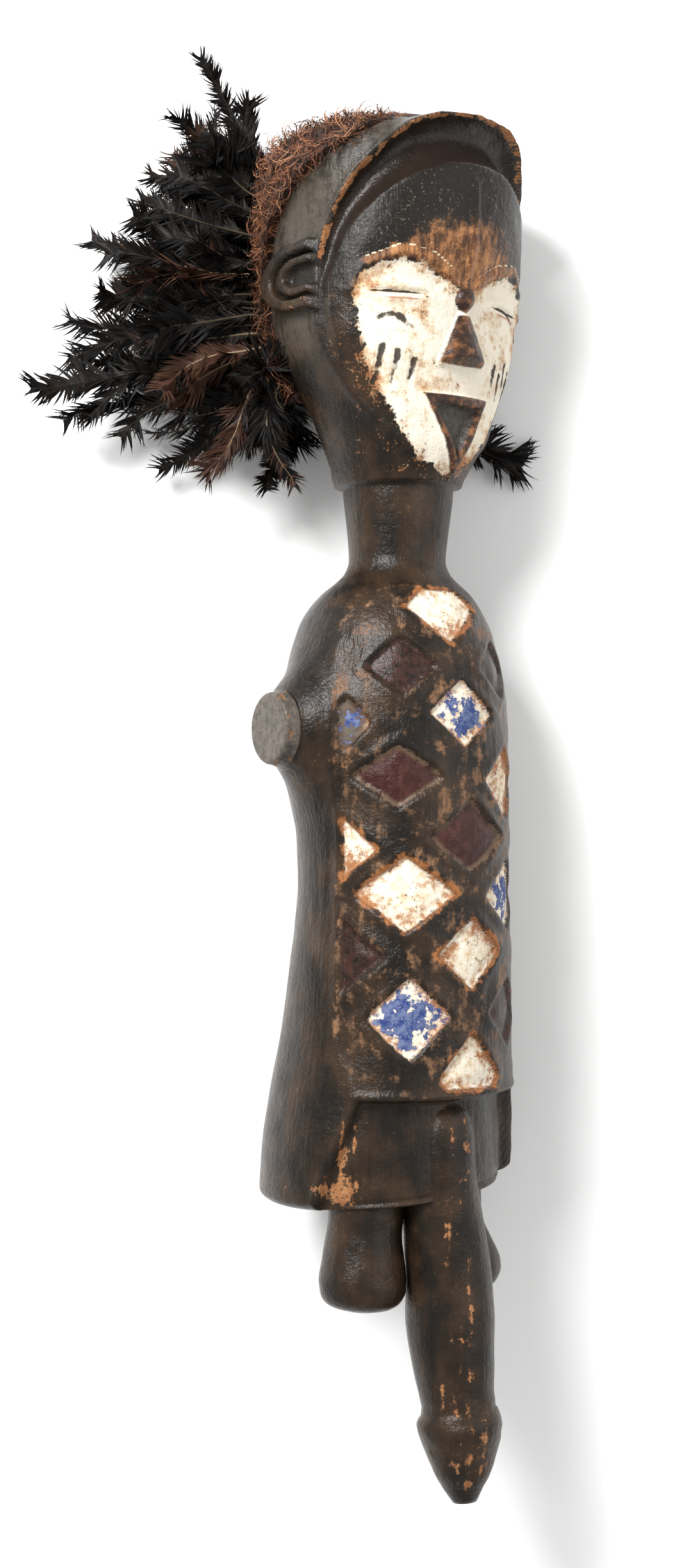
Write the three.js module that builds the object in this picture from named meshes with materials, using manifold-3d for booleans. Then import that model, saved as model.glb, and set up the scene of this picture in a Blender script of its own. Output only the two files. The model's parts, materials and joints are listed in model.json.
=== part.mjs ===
// A carved wooden figure with a fibre mat and feathers on the back of the head, laid on its back-left side.
// Millimetres. The figure is drawn upright first: +X to its left, -Y to its front, +Z up, and then laid down
// with the head towards +Y of the finished frame and the front turned to +X and up.
import * as THREE from "three";
import { mergeVertices } from "three/addons/utils/BufferGeometryUtils.js";
import Module from "manifold-3d";

const wasm = await Module();
wasm.setup();

// Lying pose
const rollAngle = THREE.MathUtils.degToRad(40);
const restDistance = 67.2;

// Gaps between separate pieces
const pieceGap = 0.35;

// Trunk and neck: height, radius, centre to the left, centre forward
const hemHeight = 172.5;
const hemTilt = 5.5;
const hemTiltReach = 45;
const headBaseHeight = 553;
const neckRootHeight = 495;
// Heights on the neck and on the head are drawn for a neck from 495 to 553 and a head from 553 to 742
const neckLevel = (drawn) => neckRootHeight + ((drawn - 495) * (headBaseHeight - neckRootHeight)) / (553 - 495);
const trunkStations = [
  [hemHeight, 68.6, -2.8, -0.9],
  [hemHeight + 4, 69.9, -2.8, -0.9],
  [192, 69.4, -2.6, -0.8],
  [225, 66.3, -1.0, -0.2],
  [260, 62.6, 0, 3.0],
  [295, 60.0, 0, 6.2],
  [316, 58.3, 0, 7.8],
  [341, 57.2, 0, 8.6],
  [365, 58.0, 0, 8.0],
  [386, 59.8, 0, 4.6],
  [412, 61.4, 0, 2.4],
  [435, 60.9, 0, 1.6],
  [449, 58.9, 0, 1.2],
  [463, 56.2, 0, 0.8],
  [477, 52.0, 0, 0.8],
  [487, 46.6, 0, 1.4],
  [neckLevel(495), 40.2, 0, 2.2],
  [neckLevel(501), 33.2, 0, 3.0],
  [neckLevel(506), 28.6, 0, 3.4],
  [neckLevel(513), 26.4, 0, 3.6],
  [neckLevel(530), 27.8, 0, 4.2],
  [neckLevel(547), 29.8, 0, 4.4],
  [headBaseHeight + 6, 30.5, 0, 4.4],
];

// Arm stubs: angle from the front, height, end distance, end radius, bevel of the end's rim
const armAngle = THREE.MathUtils.degToRad(95);
const armHeight = 421;
const rightArmReach = 81;
const leftArmReach = 77;
const armEndRadius = 19;
const armEndBevel = 2.2;

// Lozenge panel on the front of the coat
const panelRightAngle = THREE.MathUtils.degToRad(-73);
const panelLeftAngle = THREE.MathUtils.degToRad(69);
const panelBottomHeight = 227;
const panelTopHeight = 494;
const lozengeMargin = 5.5;
const lozengeDepth = 1.7;
// Each lozenge: angle of its centre from the front in degrees, height, half width, half height
const lozenges = [
  [-6, 485, 21, 19],
  [-4.4, 428.8, 21.3, 18.5],
  [-2, 364.5, 24, 20],
  [-1.5, 303.5, 20.7, 19.5],
  [-2, 238, 21, 24],
  [-37.2, 453.4, 20.3, 16],
  [-39, 395.5, 25.8, 16.7],
  [-35, 334.8, 25.7, 20.2],
  [-34, 270.2, 22.4, 22],
  [27, 453, 18, 16],
  [28, 393, 21, 19],
  [28, 333, 21, 19.5],
  [27, 271, 18.5, 18],
  [-64, 423, 14, 14.5],
  [-72, 358, 24.8, 19.5],
  [-69, 302, 26.5, 21],
  [62, 424, 15, 16],
  [64, 362, 20, 19],
  [63, 302, 20, 20],
];
const panelRecessDepth = 7.5;

// Legs and shaft
const legEndHeight = 115;
const rightLegRadius = 23.2;
const leftLegRadius = 21.6;
const rightLegAside = 39.6;
const leftLegAside = 33.5;
const legSplay = 4;
const legForward = 19.5;
const tipHeight = 14.7;
const tipRadius = 6.5;
const shaftAside = 0.8;

// Head: height, radius, centre forward
const crownHeight = 742;
const headLevel = (drawn) => headBaseHeight + ((drawn - 553) * (crownHeight - headBaseHeight)) / (742 - 553);
const headStations = [
  [headBaseHeight, 34.6, 4.4],
  [headLevel(556), 35.6, 4.4],
  [headLevel(563), 38.2, 6.2],
  [headLevel(576), 43.9, 8.2],
  [headLevel(591), 50.0, 8.6],
  [headLevel(603), 55.4, 7.6],
  [headLevel(616), 61.6, 5.6],
  [headLevel(630), 66.0, 4.0],
  [headLevel(651), 68.2, 2.7],
  [headLevel(680), 68.6, 2.2],
  [headLevel(703), 68.4, 2.4],
  [headLevel(716), 67.8, 3.2],
  [headLevel(726), 65.8, 3.6],
  [headLevel(732), 62.6, 3.8],
  [headLevel(737), 56.6, 4.0],
  [headLevel(740), 47.0, 4.0],
  [crownHeight, 26.0, 2.0],
];
// The front of the face: height, distance forward of the axis
const faceStations = [
  [headBaseHeight, 44.5],
  [headLevel(562), 46.5],
  [headLevel(583), 48.5],
  [headLevel(600), 50.5],
  [headLevel(622), 54.5],
  [headLevel(640), 56.0],
  [headLevel(652), 58.0],
  [headLevel(664), 62.0],
  [headLevel(680), 65.8],
  [headLevel(700), 68.5],
  [headLevel(714), 71.0],
  [crownHeight, 71.0],
];
const faceCurve = 0.006;
const hoodRootHeight = headLevel(646);
const channelRadius = 13.5;

// Ears
const earAngle = THREE.MathUtils.degToRad(95);
const earHeight = headLevel(657);
const earHalfHeight = 18.5;
const earWidth = 33;
const earStandOff = 5.2;
const earRidge = 4.2;

// Fibre mat over the back and the top of the head, and its front edge: distance forward, height
const matThickness = 6;
const matLowHeight = headLevel(604);
const matEdge = [
  [-30, matLowHeight],
  [-38, headLevel(624)],
  [-39, headLevel(650)],
  [-30, headLevel(679)],
  [-19, headLevel(691)],
  [-3, headLevel(703.5)],
  [12, headLevel(714)],
  [26, headLevel(721)],
  [37, headLevel(727)],
  [44, headLevel(734)],
  [46, crownHeight + matThickness + 4],
];

// Feathers: thickness and the lowest they reach
const featherThickness = 1.3;
const featherFloor = 1.2 - restDistance;
// Each feather: angle of its root round the head, height of its root, then its tip's distance to the side that
// faces away from the face, the tip's height along the figure, its rise over the axis, width, twist
const featherRows = [
  [-129, 726, 77, 759, 8, 13, 10],
  [-129, 714, 97, 748, 6, 13, -12],
  [-130, 703, 123, 733, 5, 14, 12],
  [-131, 691, 141, 716, 4, 15, -10],
  [-131, 679, 128, 695, 10, 16, 12],
  [-131, 667, 152, 682, 2, 15, -8],
  [-131, 655, 157, 663, 5, 16, 12],
  [-131, 643, 136, 640, 9, 16, -12],
  [-131, 631, 118, 614, 7, 15, 10],
  [-130, 620, 86, 568, 3, 14, -8],
  [-128, 610, 67, 556, 2, 10, 10],
  [-147, 727, 98, 780, -10, 11, 12],
  [-148, 716, 110, 765, -13, 13, -10],
  [-148, 705, 124, 755, -16, 14, 12],
  [-149, 693, 130, 732, -12, 16, -12],
  [-149, 681, 147, 708, -14, 16, 12],
  [-149, 669, 140, 684, -18, 17, -10],
  [-148, 657, 160, 660, -13, 17, 10],
  [-148, 645, 170, 640, -17, 17, -8],
  [-148, 633, 195, 613, -12, 18, 10],
  [-148, 621, 146, 592, -15, 15, -12],
  [-147, 611, 113, 585, -16, 13, 10],
  [-145, 605, 88, 568, -14, 11, -10],
  [-164, 718, 118, 766, -34, 13, -10],
  [-165, 705, 128, 742, -38, 15, 12],
  [-166, 691, 140, 716, -35, 16, -12],
  [-166, 677, 156, 690, -38, 16, 10],
  [-166, 663, 150, 668, -34, 17, -10],
  [-166, 649, 187, 654, -38, 16, 12],
  [-166, 635, 165, 624, -34, 17, -10],
  [-166, 622, 168, 603, -40, 15, 10],
  [-165, 612, 110, 580, -36, 13, -8],
  [-163, 606, 60, 562, -40, 11, 8],
  [176, 712, 100, 742, -57, 14, 6],
  [176, 698, 122, 722, -58, 15, -6],
  [176, 684, 132, 702, -57, 16, 6],
  [176, 670, 145, 676, -58, 16, -6],
  [176, 656, 150, 654, -57, 16, 6],
  [176, 642, 152, 632, -58, 16, -6],
  [176, 628, 142, 608, -57, 15, 6],
  [176, 615, 105, 584, -58, 14, -6],
];

// Colours
const woodColour = 0x2b211b;
const fibreColour = 0x6b3a22;
const featherColour = 0x14110f;

// Shape of a smooth curve through stations of which the first number is the height.
function profile(stations, column) {
  const last = stations.length - 1;
  const slope = stations.map((s, i) => {
    const a = stations[Math.max(i - 1, 0)];
    const b = stations[Math.min(i + 1, last)];
    const before = (s[column] - a[column]) / Math.max(s[0] - a[0], 1e-9);
    const after = (b[column] - s[column]) / Math.max(b[0] - s[0], 1e-9);
    if (i === 0) return after;
    if (i === last) return before;
    return before * after <= 0 ? 0 : (2 * before * after) / (before + after);
  });
  return (height) => {
    const h = Math.min(Math.max(height, stations[0][0]), stations[last][0]);
    let i = 0;
    while (i < last - 1 && h > stations[i + 1][0]) i += 1;
    const span = stations[i + 1][0] - stations[i][0];
    const t = (h - stations[i][0]) / span;
    const u = t * t * (3 - 2 * t);
    const bendStart = t * (1 - t) * (1 - t) * span * slope[i];
    const bendEnd = t * t * (t - 1) * span * slope[i + 1];
    return stations[i][column] * (1 - u) + stations[i + 1][column] * u + bendStart + bendEnd;
  };
}

const trunkRadius = profile(trunkStations, 1);
const trunkAside = profile(trunkStations, 2);
const trunkForward = profile(trunkStations, 3);
const headRadius = profile(headStations, 1);
const headForward = profile(headStations, 2);
const faceForward = profile(faceStations, 1);

// A point at an angle from the front, counted towards the figure's left.
function polar(angle, radius, height, aside = 0, forward = 0) {
  return new THREE.Vector3(
    aside + radius * Math.sin(angle),
    -(forward + radius * Math.cos(angle)),
    height,
  );
}

// The hem hangs a little lower on the side that faces away from the front.
function trunkPoint(angle, height, lift = 0) {
  const point = polar(angle, trunkRadius(height) + lift, height, trunkAside(height), trunkForward(height));
  const share = Math.max(0, 1 - (height - hemHeight) / hemTiltReach);
  point.z += hemTilt * share * Math.sin(angle + rollAngle);
  return point;
}

function smoothMin(a, b, width) {
  const h = Math.max(width - Math.abs(a - b), 0) / width;
  return Math.min(a, b) - (h * h * width) / 4;
}

// Distance of the head's surface from the figure's axis: a round section, flattened over the face.
function headReach(angle, height) {
  const forward = headForward(height);
  const radius = headRadius(height);
  const c = Math.cos(angle);
  const s = Math.sin(angle);
  const round = forward * c + Math.sqrt(radius * radius - forward * forward * s * s);
  if (c <= 0.02) return round;
  const front = faceForward(height);
  const bend = faceCurve * s * s;
  const flat = bend < 1e-6 ? front / c : (-c + Math.sqrt(c * c + 4 * bend * front)) / (2 * bend);
  return smoothMin(round, flat, 6);
}

function headPoint(angle, height, lift = 0) {
  return polar(angle, headReach(angle, height) + lift, height);
}

// A closed solid from vertices and triangles.
function solidFrom(points, triangles) {
  const geometry = new THREE.BufferGeometry().setFromPoints(points);
  geometry.setIndex(triangles);
  return solidOf(geometry);
}

function solidOf(geometry) {
  const plain = geometry.clone();
  plain.deleteAttribute("normal");
  plain.deleteAttribute("uv");
  const merged = mergeVertices(plain, 1e-4);
  const triVerts = new Uint32Array(merged.index.array);
  const make = () =>
    new wasm.Manifold(
      new wasm.Mesh({
        numProp: 3,
        vertProperties: new Float32Array(merged.attributes.position.array),
        triVerts,
      }),
    );
  const made = make();
  if (made.volume() > 0) return made;
  for (let i = 0; i < triVerts.length; i += 3) {
    [triVerts[i + 1], triVerts[i + 2]] = [triVerts[i + 2], triVerts[i + 1]];
  }
  return make();
}

// A solid through closed rings of equal point counts, closed at both ends.
function ringSolid(rings) {
  const count = rings[0].length;
  const points = rings.flat();
  const triangles = [];
  rings.slice(1).forEach((ring, i) => {
    ring.forEach((point, j) => {
      const next = (j + 1) % count;
      const a = i * count + j;
      const b = i * count + next;
      triangles.push(a, b, b + count);
      triangles.push(a, b + count, a + count);
    });
  });
  [0, rings.length - 1].forEach((end) => {
    const middle = rings[end]
      .reduce((sum, p) => sum.add(p), new THREE.Vector3())
      .divideScalar(count);
    points.push(middle);
    const centre = points.length - 1;
    rings[end].forEach((point, j) => {
      const a = end * count + j;
      const b = end * count + ((j + 1) % count);
      triangles.push(...(end === 0 ? [centre, b, a] : [centre, a, b]));
    });
  });
  return solidFrom(points, triangles);
}

// A solid between two sheets of points that share a rectangular grid.
function sheetSolid(inner, outer) {
  const rows = inner.length;
  const columns = inner[0].length;
  const points = [...inner.flat(), ...outer.flat()];
  const far = rows * columns;
  const triangles = [];
  const at = (i, j) => i * columns + j;
  for (let i = 0; i < rows - 1; i += 1) {
    for (let j = 0; j < columns - 1; j += 1) {
      const [a, b, c, d] = [at(i, j), at(i, j + 1), at(i + 1, j + 1), at(i + 1, j)];
      triangles.push(a, b, c, a, c, d);
      triangles.push(far + a, far + c, far + b, far + a, far + d, far + c);
    }
  }
  const edge = [];
  for (let j = 0; j < columns - 1; j += 1) edge.push(at(0, j));
  for (let i = 0; i < rows - 1; i += 1) edge.push(at(i, columns - 1));
  for (let j = columns - 1; j > 0; j -= 1) edge.push(at(rows - 1, j));
  for (let i = rows - 1; i > 0; i -= 1) edge.push(at(i, 0));
  edge.forEach((a, k) => {
    const b = edge[(k + 1) % edge.length];
    triangles.push(a, far + a, far + b, a, far + b, b);
  });
  return solidFrom(points, triangles);
}

function grid(rows, columns, point) {
  return Array.from({ length: rows }, (_, i) =>
    Array.from({ length: columns }, (__, j) => point(i / (rows - 1), j / (columns - 1))),
  );
}

// A round-ended rod along a path: each stop holds a point and a radius.
function rod(stops, sides) {
  const rings = stops.map(([centre, radius], i) => {
    const before = stops[Math.max(i - 1, 0)][0];
    const after = stops[Math.min(i + 1, stops.length - 1)][0];
    const along = after.clone().sub(before).normalize();
    const side = new THREE.Vector3(0, 1, 0).cross(along);
    if (side.length() < 0.2) side.set(1, 0, 0);
    side.addScaledVector(along, -side.dot(along)).normalize();
    const up = along.clone().cross(side);
    return Array.from({ length: sides }, (_, j) => {
      const a = (j / sides) * Math.PI * 2;
      return centre
        .clone()
        .addScaledVector(side, radius * Math.cos(a))
        .addScaledVector(up, radius * Math.sin(a));
    });
  });
  return ringSolid(rings);
}

function ellipsoid(centre, radii, across = 16, down = 10) {
  const shape = new THREE.SphereGeometry(1, across, down);
  shape.scale(...radii);
  shape.translate(centre.x, centre.y, centre.z);
  return solidOf(shape);
}

// Trunk and neck
const trunkSides = 30;
const trunkHeights = [hemHeight, hemHeight + 1.6, hemHeight + 5];
[190, 226, 262, 300, 341, 368, 392, 414, 436, 452].forEach((h) => trunkHeights.push(h));
[466, 479, 489].forEach((h) => trunkHeights.push(h));
[497, 503, 510, 520].forEach((h) => trunkHeights.push(neckLevel(h)));
trunkHeights.push(headBaseHeight + 5);
const hemRounding = [6, 1.8, 0];
const trunk = ringSolid(
  trunkHeights.map((height, i) =>
    Array.from({ length: trunkSides }, (_, j) =>
      trunkPoint((j / trunkSides) * Math.PI * 2, height, -(hemRounding[i] ?? 0)),
    ),
  ),
);

// Arm stubs, wide where they leave the shoulder and cut square at the end
function armStub(side, reach) {
  const shares = [
    [0.3, 2.1],
    [0.6, 1.92],
    [0.7, 1.66],
    [0.78, 1.42],
    [0.85, 1.22],
    [0.92, 1.06],
    [1 - armEndBevel / reach, 1],
    [1, 1 - armEndBevel / armEndRadius],
  ];
  const sides = 16;
  const rings = shares.map(([along, wide]) => {
    const radius = armEndRadius * wide;
    const rise = (1 - wide) * 2;
    return Array.from({ length: sides }, (_, j) => {
      const a = (j / sides) * Math.PI * 2;
      const across = polar(side * armAngle + Math.PI / 2, radius * 0.94 * Math.cos(a), 0);
      const point = polar(side * armAngle, reach * along, armHeight + rise + radius * Math.sin(a));
      return point.add(across);
    });
  });
  return ringSolid(rings);
}

// Legs: short stubs that swell to a rounded end and lean a little outwards
function leg(side, aside, radius, neck) {
  const shares = [
    [1.0, 0.45],
    [0.96, 0.76],
    [0.87, 0.95],
    [0.72, 1.0],
    [0.52, (1 + neck) / 2],
    [0.3, neck],
    [-0.2, neck],
  ];
  const drop = hemHeight - legEndHeight;
  const stops = shares.map(([along, wide]) => [
    new THREE.Vector3(side * (aside - legSplay * (1 - along)), -legForward, hemHeight - drop * along),
    radius * wide,
  ]);
  return rod(stops, 12);
}

// Shaft: height, radius, forward
const shaftStations = [
  [tipHeight, tipRadius, 56.6],
  [22.5, 11.1, 55.6],
  [32, 16.0, 54.7],
  [43, 20.0, 53.6],
  [50, 22.0, 53.0],
  [56, 22.4, 52.4],
  [60, 21.0, 52.0],
  [64, 19.8, 51.4],
  [72, 20.0, 50.0],
  [86, 21.8, 48.0],
  [108, 23.6, 45.2],
  [134, 22.5, 43.0],
  [172, 19.2, 39.8],
  [196, 17.0, 38.4],
  [214, 14.0, 39.0],
  [222, 9.0, 40.0],
];
const shaft = rod(
  shaftStations.map(([height, radius, forward]) => [new THREE.Vector3(shaftAside, -forward, height), radius]),
  16,
);

// A cutter for one lozenge, following the coat's surface
function lozengeCutter([degrees, height, halfWidth, halfHeight]) {
  const steps = 3;
  const radius = trunkRadius(height);
  const sheet = (lift) =>
    grid(steps, steps, (u, v) => {
      const angle = THREE.MathUtils.degToRad(degrees) + ((u + v - 1) * halfWidth) / radius;
      return trunkPoint(angle, height + (v - u) * halfHeight, lift);
    });
  return sheetSolid(sheet(-lozengeDepth), sheet(lozengeDepth + 3));
}
const panelSheet = (reach) =>
  grid(2, 9, (u, v) => {
    const height = panelBottomHeight + lozengeMargin + (panelTopHeight - panelBottomHeight - lozengeMargin) * u;
    return polar(panelRightAngle + (panelLeftAngle - panelRightAngle) * v, reach, height);
  });
const panelSpace = sheetSolid(panelSheet(20), panelSheet(110));
const lozengeCutters = lozenges.map((lozenge) => lozengeCutter(lozenge).intersect(panelSpace));

// The stepped-back place below the panel
const recessTop = panelBottomHeight;
const recessLow = hemHeight - 3;
const recessSheet = (lift) =>
  grid(4, 9, (u, v) => {
    const height = recessLow + (recessTop - recessLow) * u;
    const right = THREE.MathUtils.degToRad(-77 + 20 * u);
    const left = THREE.MathUtils.degToRad(44 - 8 * u);
    return trunkPoint(right + (left - right) * v, height, lift);
  });
const recessCutter = sheetSolid(recessSheet(-panelRecessDepth), recessSheet(9));

// Head
const headSides = 30;
const headHeights = [headBaseHeight, headLevel(556)];
[564, 578, 592, 606, 620, 634, 650, 668, 690, 708, 719, 727, 733, 737.5, 740.5].forEach((h) =>
  headHeights.push(headLevel(h)),
);
const headRings = (lift, sides = headSides, heights = headHeights) =>
  [...heights, crownHeight].map((height, i) =>
    Array.from({ length: sides }, (_, j) =>
      headPoint((j / sides) * Math.PI * 2, height, lift).setZ(height + (i === heights.length ? lift : 0)),
    ),
  );
const headRound = ringSolid(headRings(0));

// The groove between the hood's rim and the forehead, and the rim's rounded edge: aside, forward, height and
// share of the radius, from the foot of the hood up to the middle
const channelHalf = [
  [66, 14, headLevel(634), 0.16],
  [64, 20, hoodRootHeight, 0.45],
  [61, 28, headLevel(666), 0.78],
  [55.5, 39.5, headLevel(687), 0.92],
  [43.5, 52.5, headLevel(704.5), 1.0],
  [25, 63, headLevel(718), 1.04],
  [0, 68.5, headLevel(725.5), 1.0],
];
const rimHalf = [
  [66.5, 12, headLevel(638), 0.4],
  [65.6, 18, headLevel(664), 0.7],
  [61.6, 29.5, headLevel(687), 0.8],
  [52.6, 43.2, headLevel(706), 0.85],
  [37.4, 56.6, headLevel(724), 0.9],
  [19, 64.6, headLevel(733.5), 1.0],
  [0, 67.4, headLevel(736.4), 1.1],
];
const rimRadius = 4.2;
function bothSides(half, radius, sides) {
  const whole = [
    ...half.map(([x, f, z, w]) => [-x, f, z, w]),
    ...half.slice(0, -1).reverse(),
  ];
  return rod(whole.map(([x, f, z, w]) => [new THREE.Vector3(x, -f, z), radius * w]), sides);
}
const channel = bothSides(channelHalf, channelRadius, 10);
const hoodRim = bothSides(rimHalf, rimRadius, 6);

// Face: chin, brow ridges, eyes, knob, nose and mouth
function facePoint(aside, height, lift = 0) {
  let angle = Math.atan2(aside, faceForward(height));
  for (let i = 0; i < 6; i += 1) {
    angle = Math.asin(Math.min(Math.max(aside / headReach(angle, height), -1), 1));
  }
  return headPoint(angle, height, lift);
}

const chin = ellipsoid(new THREE.Vector3(0, -37, headLevel(563)), [20, 10.5, 12], 10, 6);

function ridge(stops, radius, sides = 6) {
  return rod(
    stops.map(([aside, height, wide]) => [facePoint(aside, height, -radius * 0.45), radius * wide]),
    sides,
  );
}
const browStops = [
  [4, headLevel(649), 0.5],
  [12, headLevel(657), 1],
  [24, headLevel(664.5), 1],
  [40, headLevel(667), 1],
  [54, headLevel(659), 0.9],
  [60, headLevel(645), 0.5],
];
const brows = [-1, 1].map((side) => ridge(browStops.map(([x, h, w]) => [side * x, h, w]), 2.6));
const eyelids = [-1, 1].map((side) =>
  ridge(
    [
      [side * 20, headLevel(646), 0.45],
      [side * 29, headLevel(647.5), 1],
      [side * 43, headLevel(647.5), 1],
      [side * 55, headLevel(646.5), 0.45],
    ],
    3.2,
    6,
  ),
);
const eyeSlits = [-1, 1].map((side) =>
  rod(
    [
      [facePoint(side * 22, headLevel(645.5), 2.4), 0.5],
      [facePoint(side * 31, headLevel(646.2), 2.4), 1.1],
      [facePoint(side * 43, headLevel(646.2), 2.4), 1.1],
      [facePoint(side * 53, headLevel(645.8), 2.4), 0.5],
    ],
    6,
  ),
);
const knob = ellipsoid(facePoint(0, headLevel(643), 1), [4.6, 3.6, 4.6], 10, 6);
const foreheadRidge = ridge(
  [
    [0, headLevel(650), 0.5],
    [0, headLevel(664), 1],
    [0, headLevel(690), 1],
    [0, headLevel(706), 0.6],
  ],
  2.4,
);

// A wedge over a triangle on the face: half width, top, bottom, how far its low edge stands off
function faceTriangle(halfTop, topHeight, halfLow, lowHeight, liftTop, liftLow, sink) {
  const steps = 4;
  const sheet = (top, low) =>
    grid(steps, steps, (u, v) => {
      const half = halfTop + (halfLow - halfTop) * (1 - u);
      const height = lowHeight + (topHeight - lowHeight) * u;
      const lift = low + (top - low) * u;
      const round = 1 - (v * 2 - 1) ** 2;
      return facePoint((v * 2 - 1) * half, height, lift * (0.35 + 0.65 * round));
    });
  return sheetSolid(sheet(-sink, -sink), sheet(liftTop, liftLow));
}
const nose = faceTriangle(2.2, headLevel(636), 13, headLevel(611), 1.5, 8.5, 4);

function mouthSheet(half, top, bottom, lift) {
  return grid(5, 5, (u, v) => {
    const width = half * (0.04 + 0.96 * u);
    return facePoint((v * 2 - 1) * width, headLevel(bottom + (top - bottom) * u), lift);
  });
}
const mouthRim = sheetSolid(mouthSheet(22, 597, 556, -4), mouthSheet(21.4, 596.4, 557, 2.2));
const mouthHollow = sheetSolid(mouthSheet(15.6, 592.6, 565, -3.2), mouthSheet(16.2, 593, 564.4, 6));

// Ears: a plate with two curved ridges, open to the front
function earShape(outerX, outerY, innerX, innerY) {
  const shape = new THREE.Shape();
  const steps = 6;
  const sweep = Math.PI * 0.56;
  const arc = (x, y, turn) =>
    Array.from({ length: steps + 1 }, (_, i) => {
      const a = -sweep + (2 * sweep * i) / steps;
      return [x * Math.cos(a * turn), y * Math.sin(a * turn)];
    });
  const outline = [...arc(outerX, outerY, 1), ...(innerX ? arc(innerX, innerY, -1) : [])];
  outline.forEach(([x, y], i) => (i ? shape.lineTo(x, y) : shape.moveTo(x, y)));
  return shape;
}
function ear(side) {
  const centre = polar(side * earAngle, 0, earHeight);
  const reach = headReach(side * earAngle, earHeight);
  const back = polar(side * earAngle + side * Math.PI / 2, 1, 0).normalize();
  const out = polar(side * earAngle, 1, 0).normalize();
  const place = new THREE.Matrix4().makeBasis(back, new THREE.Vector3(0, 0, 1), out);
  place.setPosition(centre.addScaledVector(back, -earWidth * 0.36));
  const parts = [
    [earWidth, earHalfHeight, 0, 0, -1.2],
    [earWidth, earHalfHeight, earWidth - earRidge, earHalfHeight - earRidge, earStandOff],
    [earWidth * 0.66, earHalfHeight * 0.6, earWidth * 0.66 - earRidge, earHalfHeight * 0.6 - earRidge, earStandOff - 1],
  ];
  return parts
    .map(([ox, oy, ix, iy, lift]) => {
      const depth = 16 + lift;
      const shape = new THREE.ExtrudeGeometry(earShape(ox, oy, ix, iy), {
        depth,
        bevelEnabled: false,
        steps: 1,
      });
      shape.translate(0, 0, reach - 16);
      shape.applyMatrix4(place);
      return solidOf(shape);
    })
    .reduce((a, b) => a.add(b));
}

// The whole carving as one solid
let figure = trunk;
figure = figure.add(armStub(-1, rightArmReach)).add(armStub(1, leftArmReach));
lozengeCutters.forEach((cutter) => {
  figure = figure.subtract(cutter);
});
figure = figure.subtract(recessCutter);
figure = figure.add(leg(-1, rightLegAside, rightLegRadius, 0.8)).add(leg(1, leftLegAside, leftLegRadius, 0.7));
figure = figure.add(shaft);
let head = headRound.add(chin);
head = head.subtract(channel).add(hoodRim);
[...brows, ...eyelids, knob, foreheadRidge, nose, mouthRim].forEach((piece) => {
  head = head.add(piece);
});
[...eyeSlits, mouthHollow].forEach((piece) => {
  head = head.subtract(piece);
});
head = head.add(ear(-1)).add(ear(1));
figure = figure.add(head);

// Fibre mat: a thick skin over the head, behind the line of its front edge
const matShape = new THREE.Shape();
matShape.moveTo(-200, matLowHeight);
matEdge.forEach(([forward, height]) => matShape.lineTo(forward, height));
matShape.lineTo(-200, crownHeight + matThickness + 4);
const matSpace = new THREE.ExtrudeGeometry(matShape, { depth: 300, bevelEnabled: false });
matSpace.translate(0, 0, -150);
matSpace.applyMatrix4(
  new THREE.Matrix4().makeBasis(
    new THREE.Vector3(0, -1, 0),
    new THREE.Vector3(0, 0, 1),
    new THREE.Vector3(-1, 0, 0),
  ),
);
const matSides = 24;
const matHeights = headHeights.filter((_, i) => i % 2 === 0);
const mat = ringSolid(headRings(matThickness, matSides, matHeights))
  .subtract(ringSolid(headRings(pieceGap)))
  .intersect(solidOf(matSpace));

// Laying the figure down, and the floor that it rests on
const layDown = new THREE.Matrix4().makeBasis(
  new THREE.Vector3(Math.cos(rollAngle), 0, -Math.sin(rollAngle)),
  new THREE.Vector3(-Math.sin(rollAngle), 0, -Math.cos(rollAngle)),
  new THREE.Vector3(0, 1, 0),
);
const floorCut = new THREE.BoxGeometry(600, 1200, 100).translate(0, 400, -restDistance - 50);

function meshOf(name, solid, colour, roughness, place) {
  const made = solid.getMesh();
  const positions = new Float32Array(made.numVert * 3);
  for (let i = 0; i < made.numVert; i += 1) {
    positions.set(made.vertProperties.subarray(i * made.numProp, i * made.numProp + 3), i * 3);
  }
  const geometry = new THREE.BufferGeometry();
  geometry.setAttribute("position", new THREE.BufferAttribute(positions, 3));
  geometry.setIndex(new THREE.BufferAttribute(new Uint32Array(made.triVerts), 1));
  geometry.applyMatrix4(place);
  geometry.computeVertexNormals();
  const material = new THREE.MeshStandardMaterial({ color: colour, roughness, metalness: 0 });
  const mesh = new THREE.Mesh(geometry, material);
  mesh.name = name;
  return mesh;
}

function laid(solid) {
  const flat = meshOf("laid", solid, woodColour, 1, layDown);
  return solidOf(flat.geometry).subtract(solidOf(floorCut));
}

// Feathers: blades that leave the mat and fan out, in layers from the raised side down to the floor.
function laidPoint(point) {
  return point.clone().applyMatrix4(layDown);
}

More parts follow.
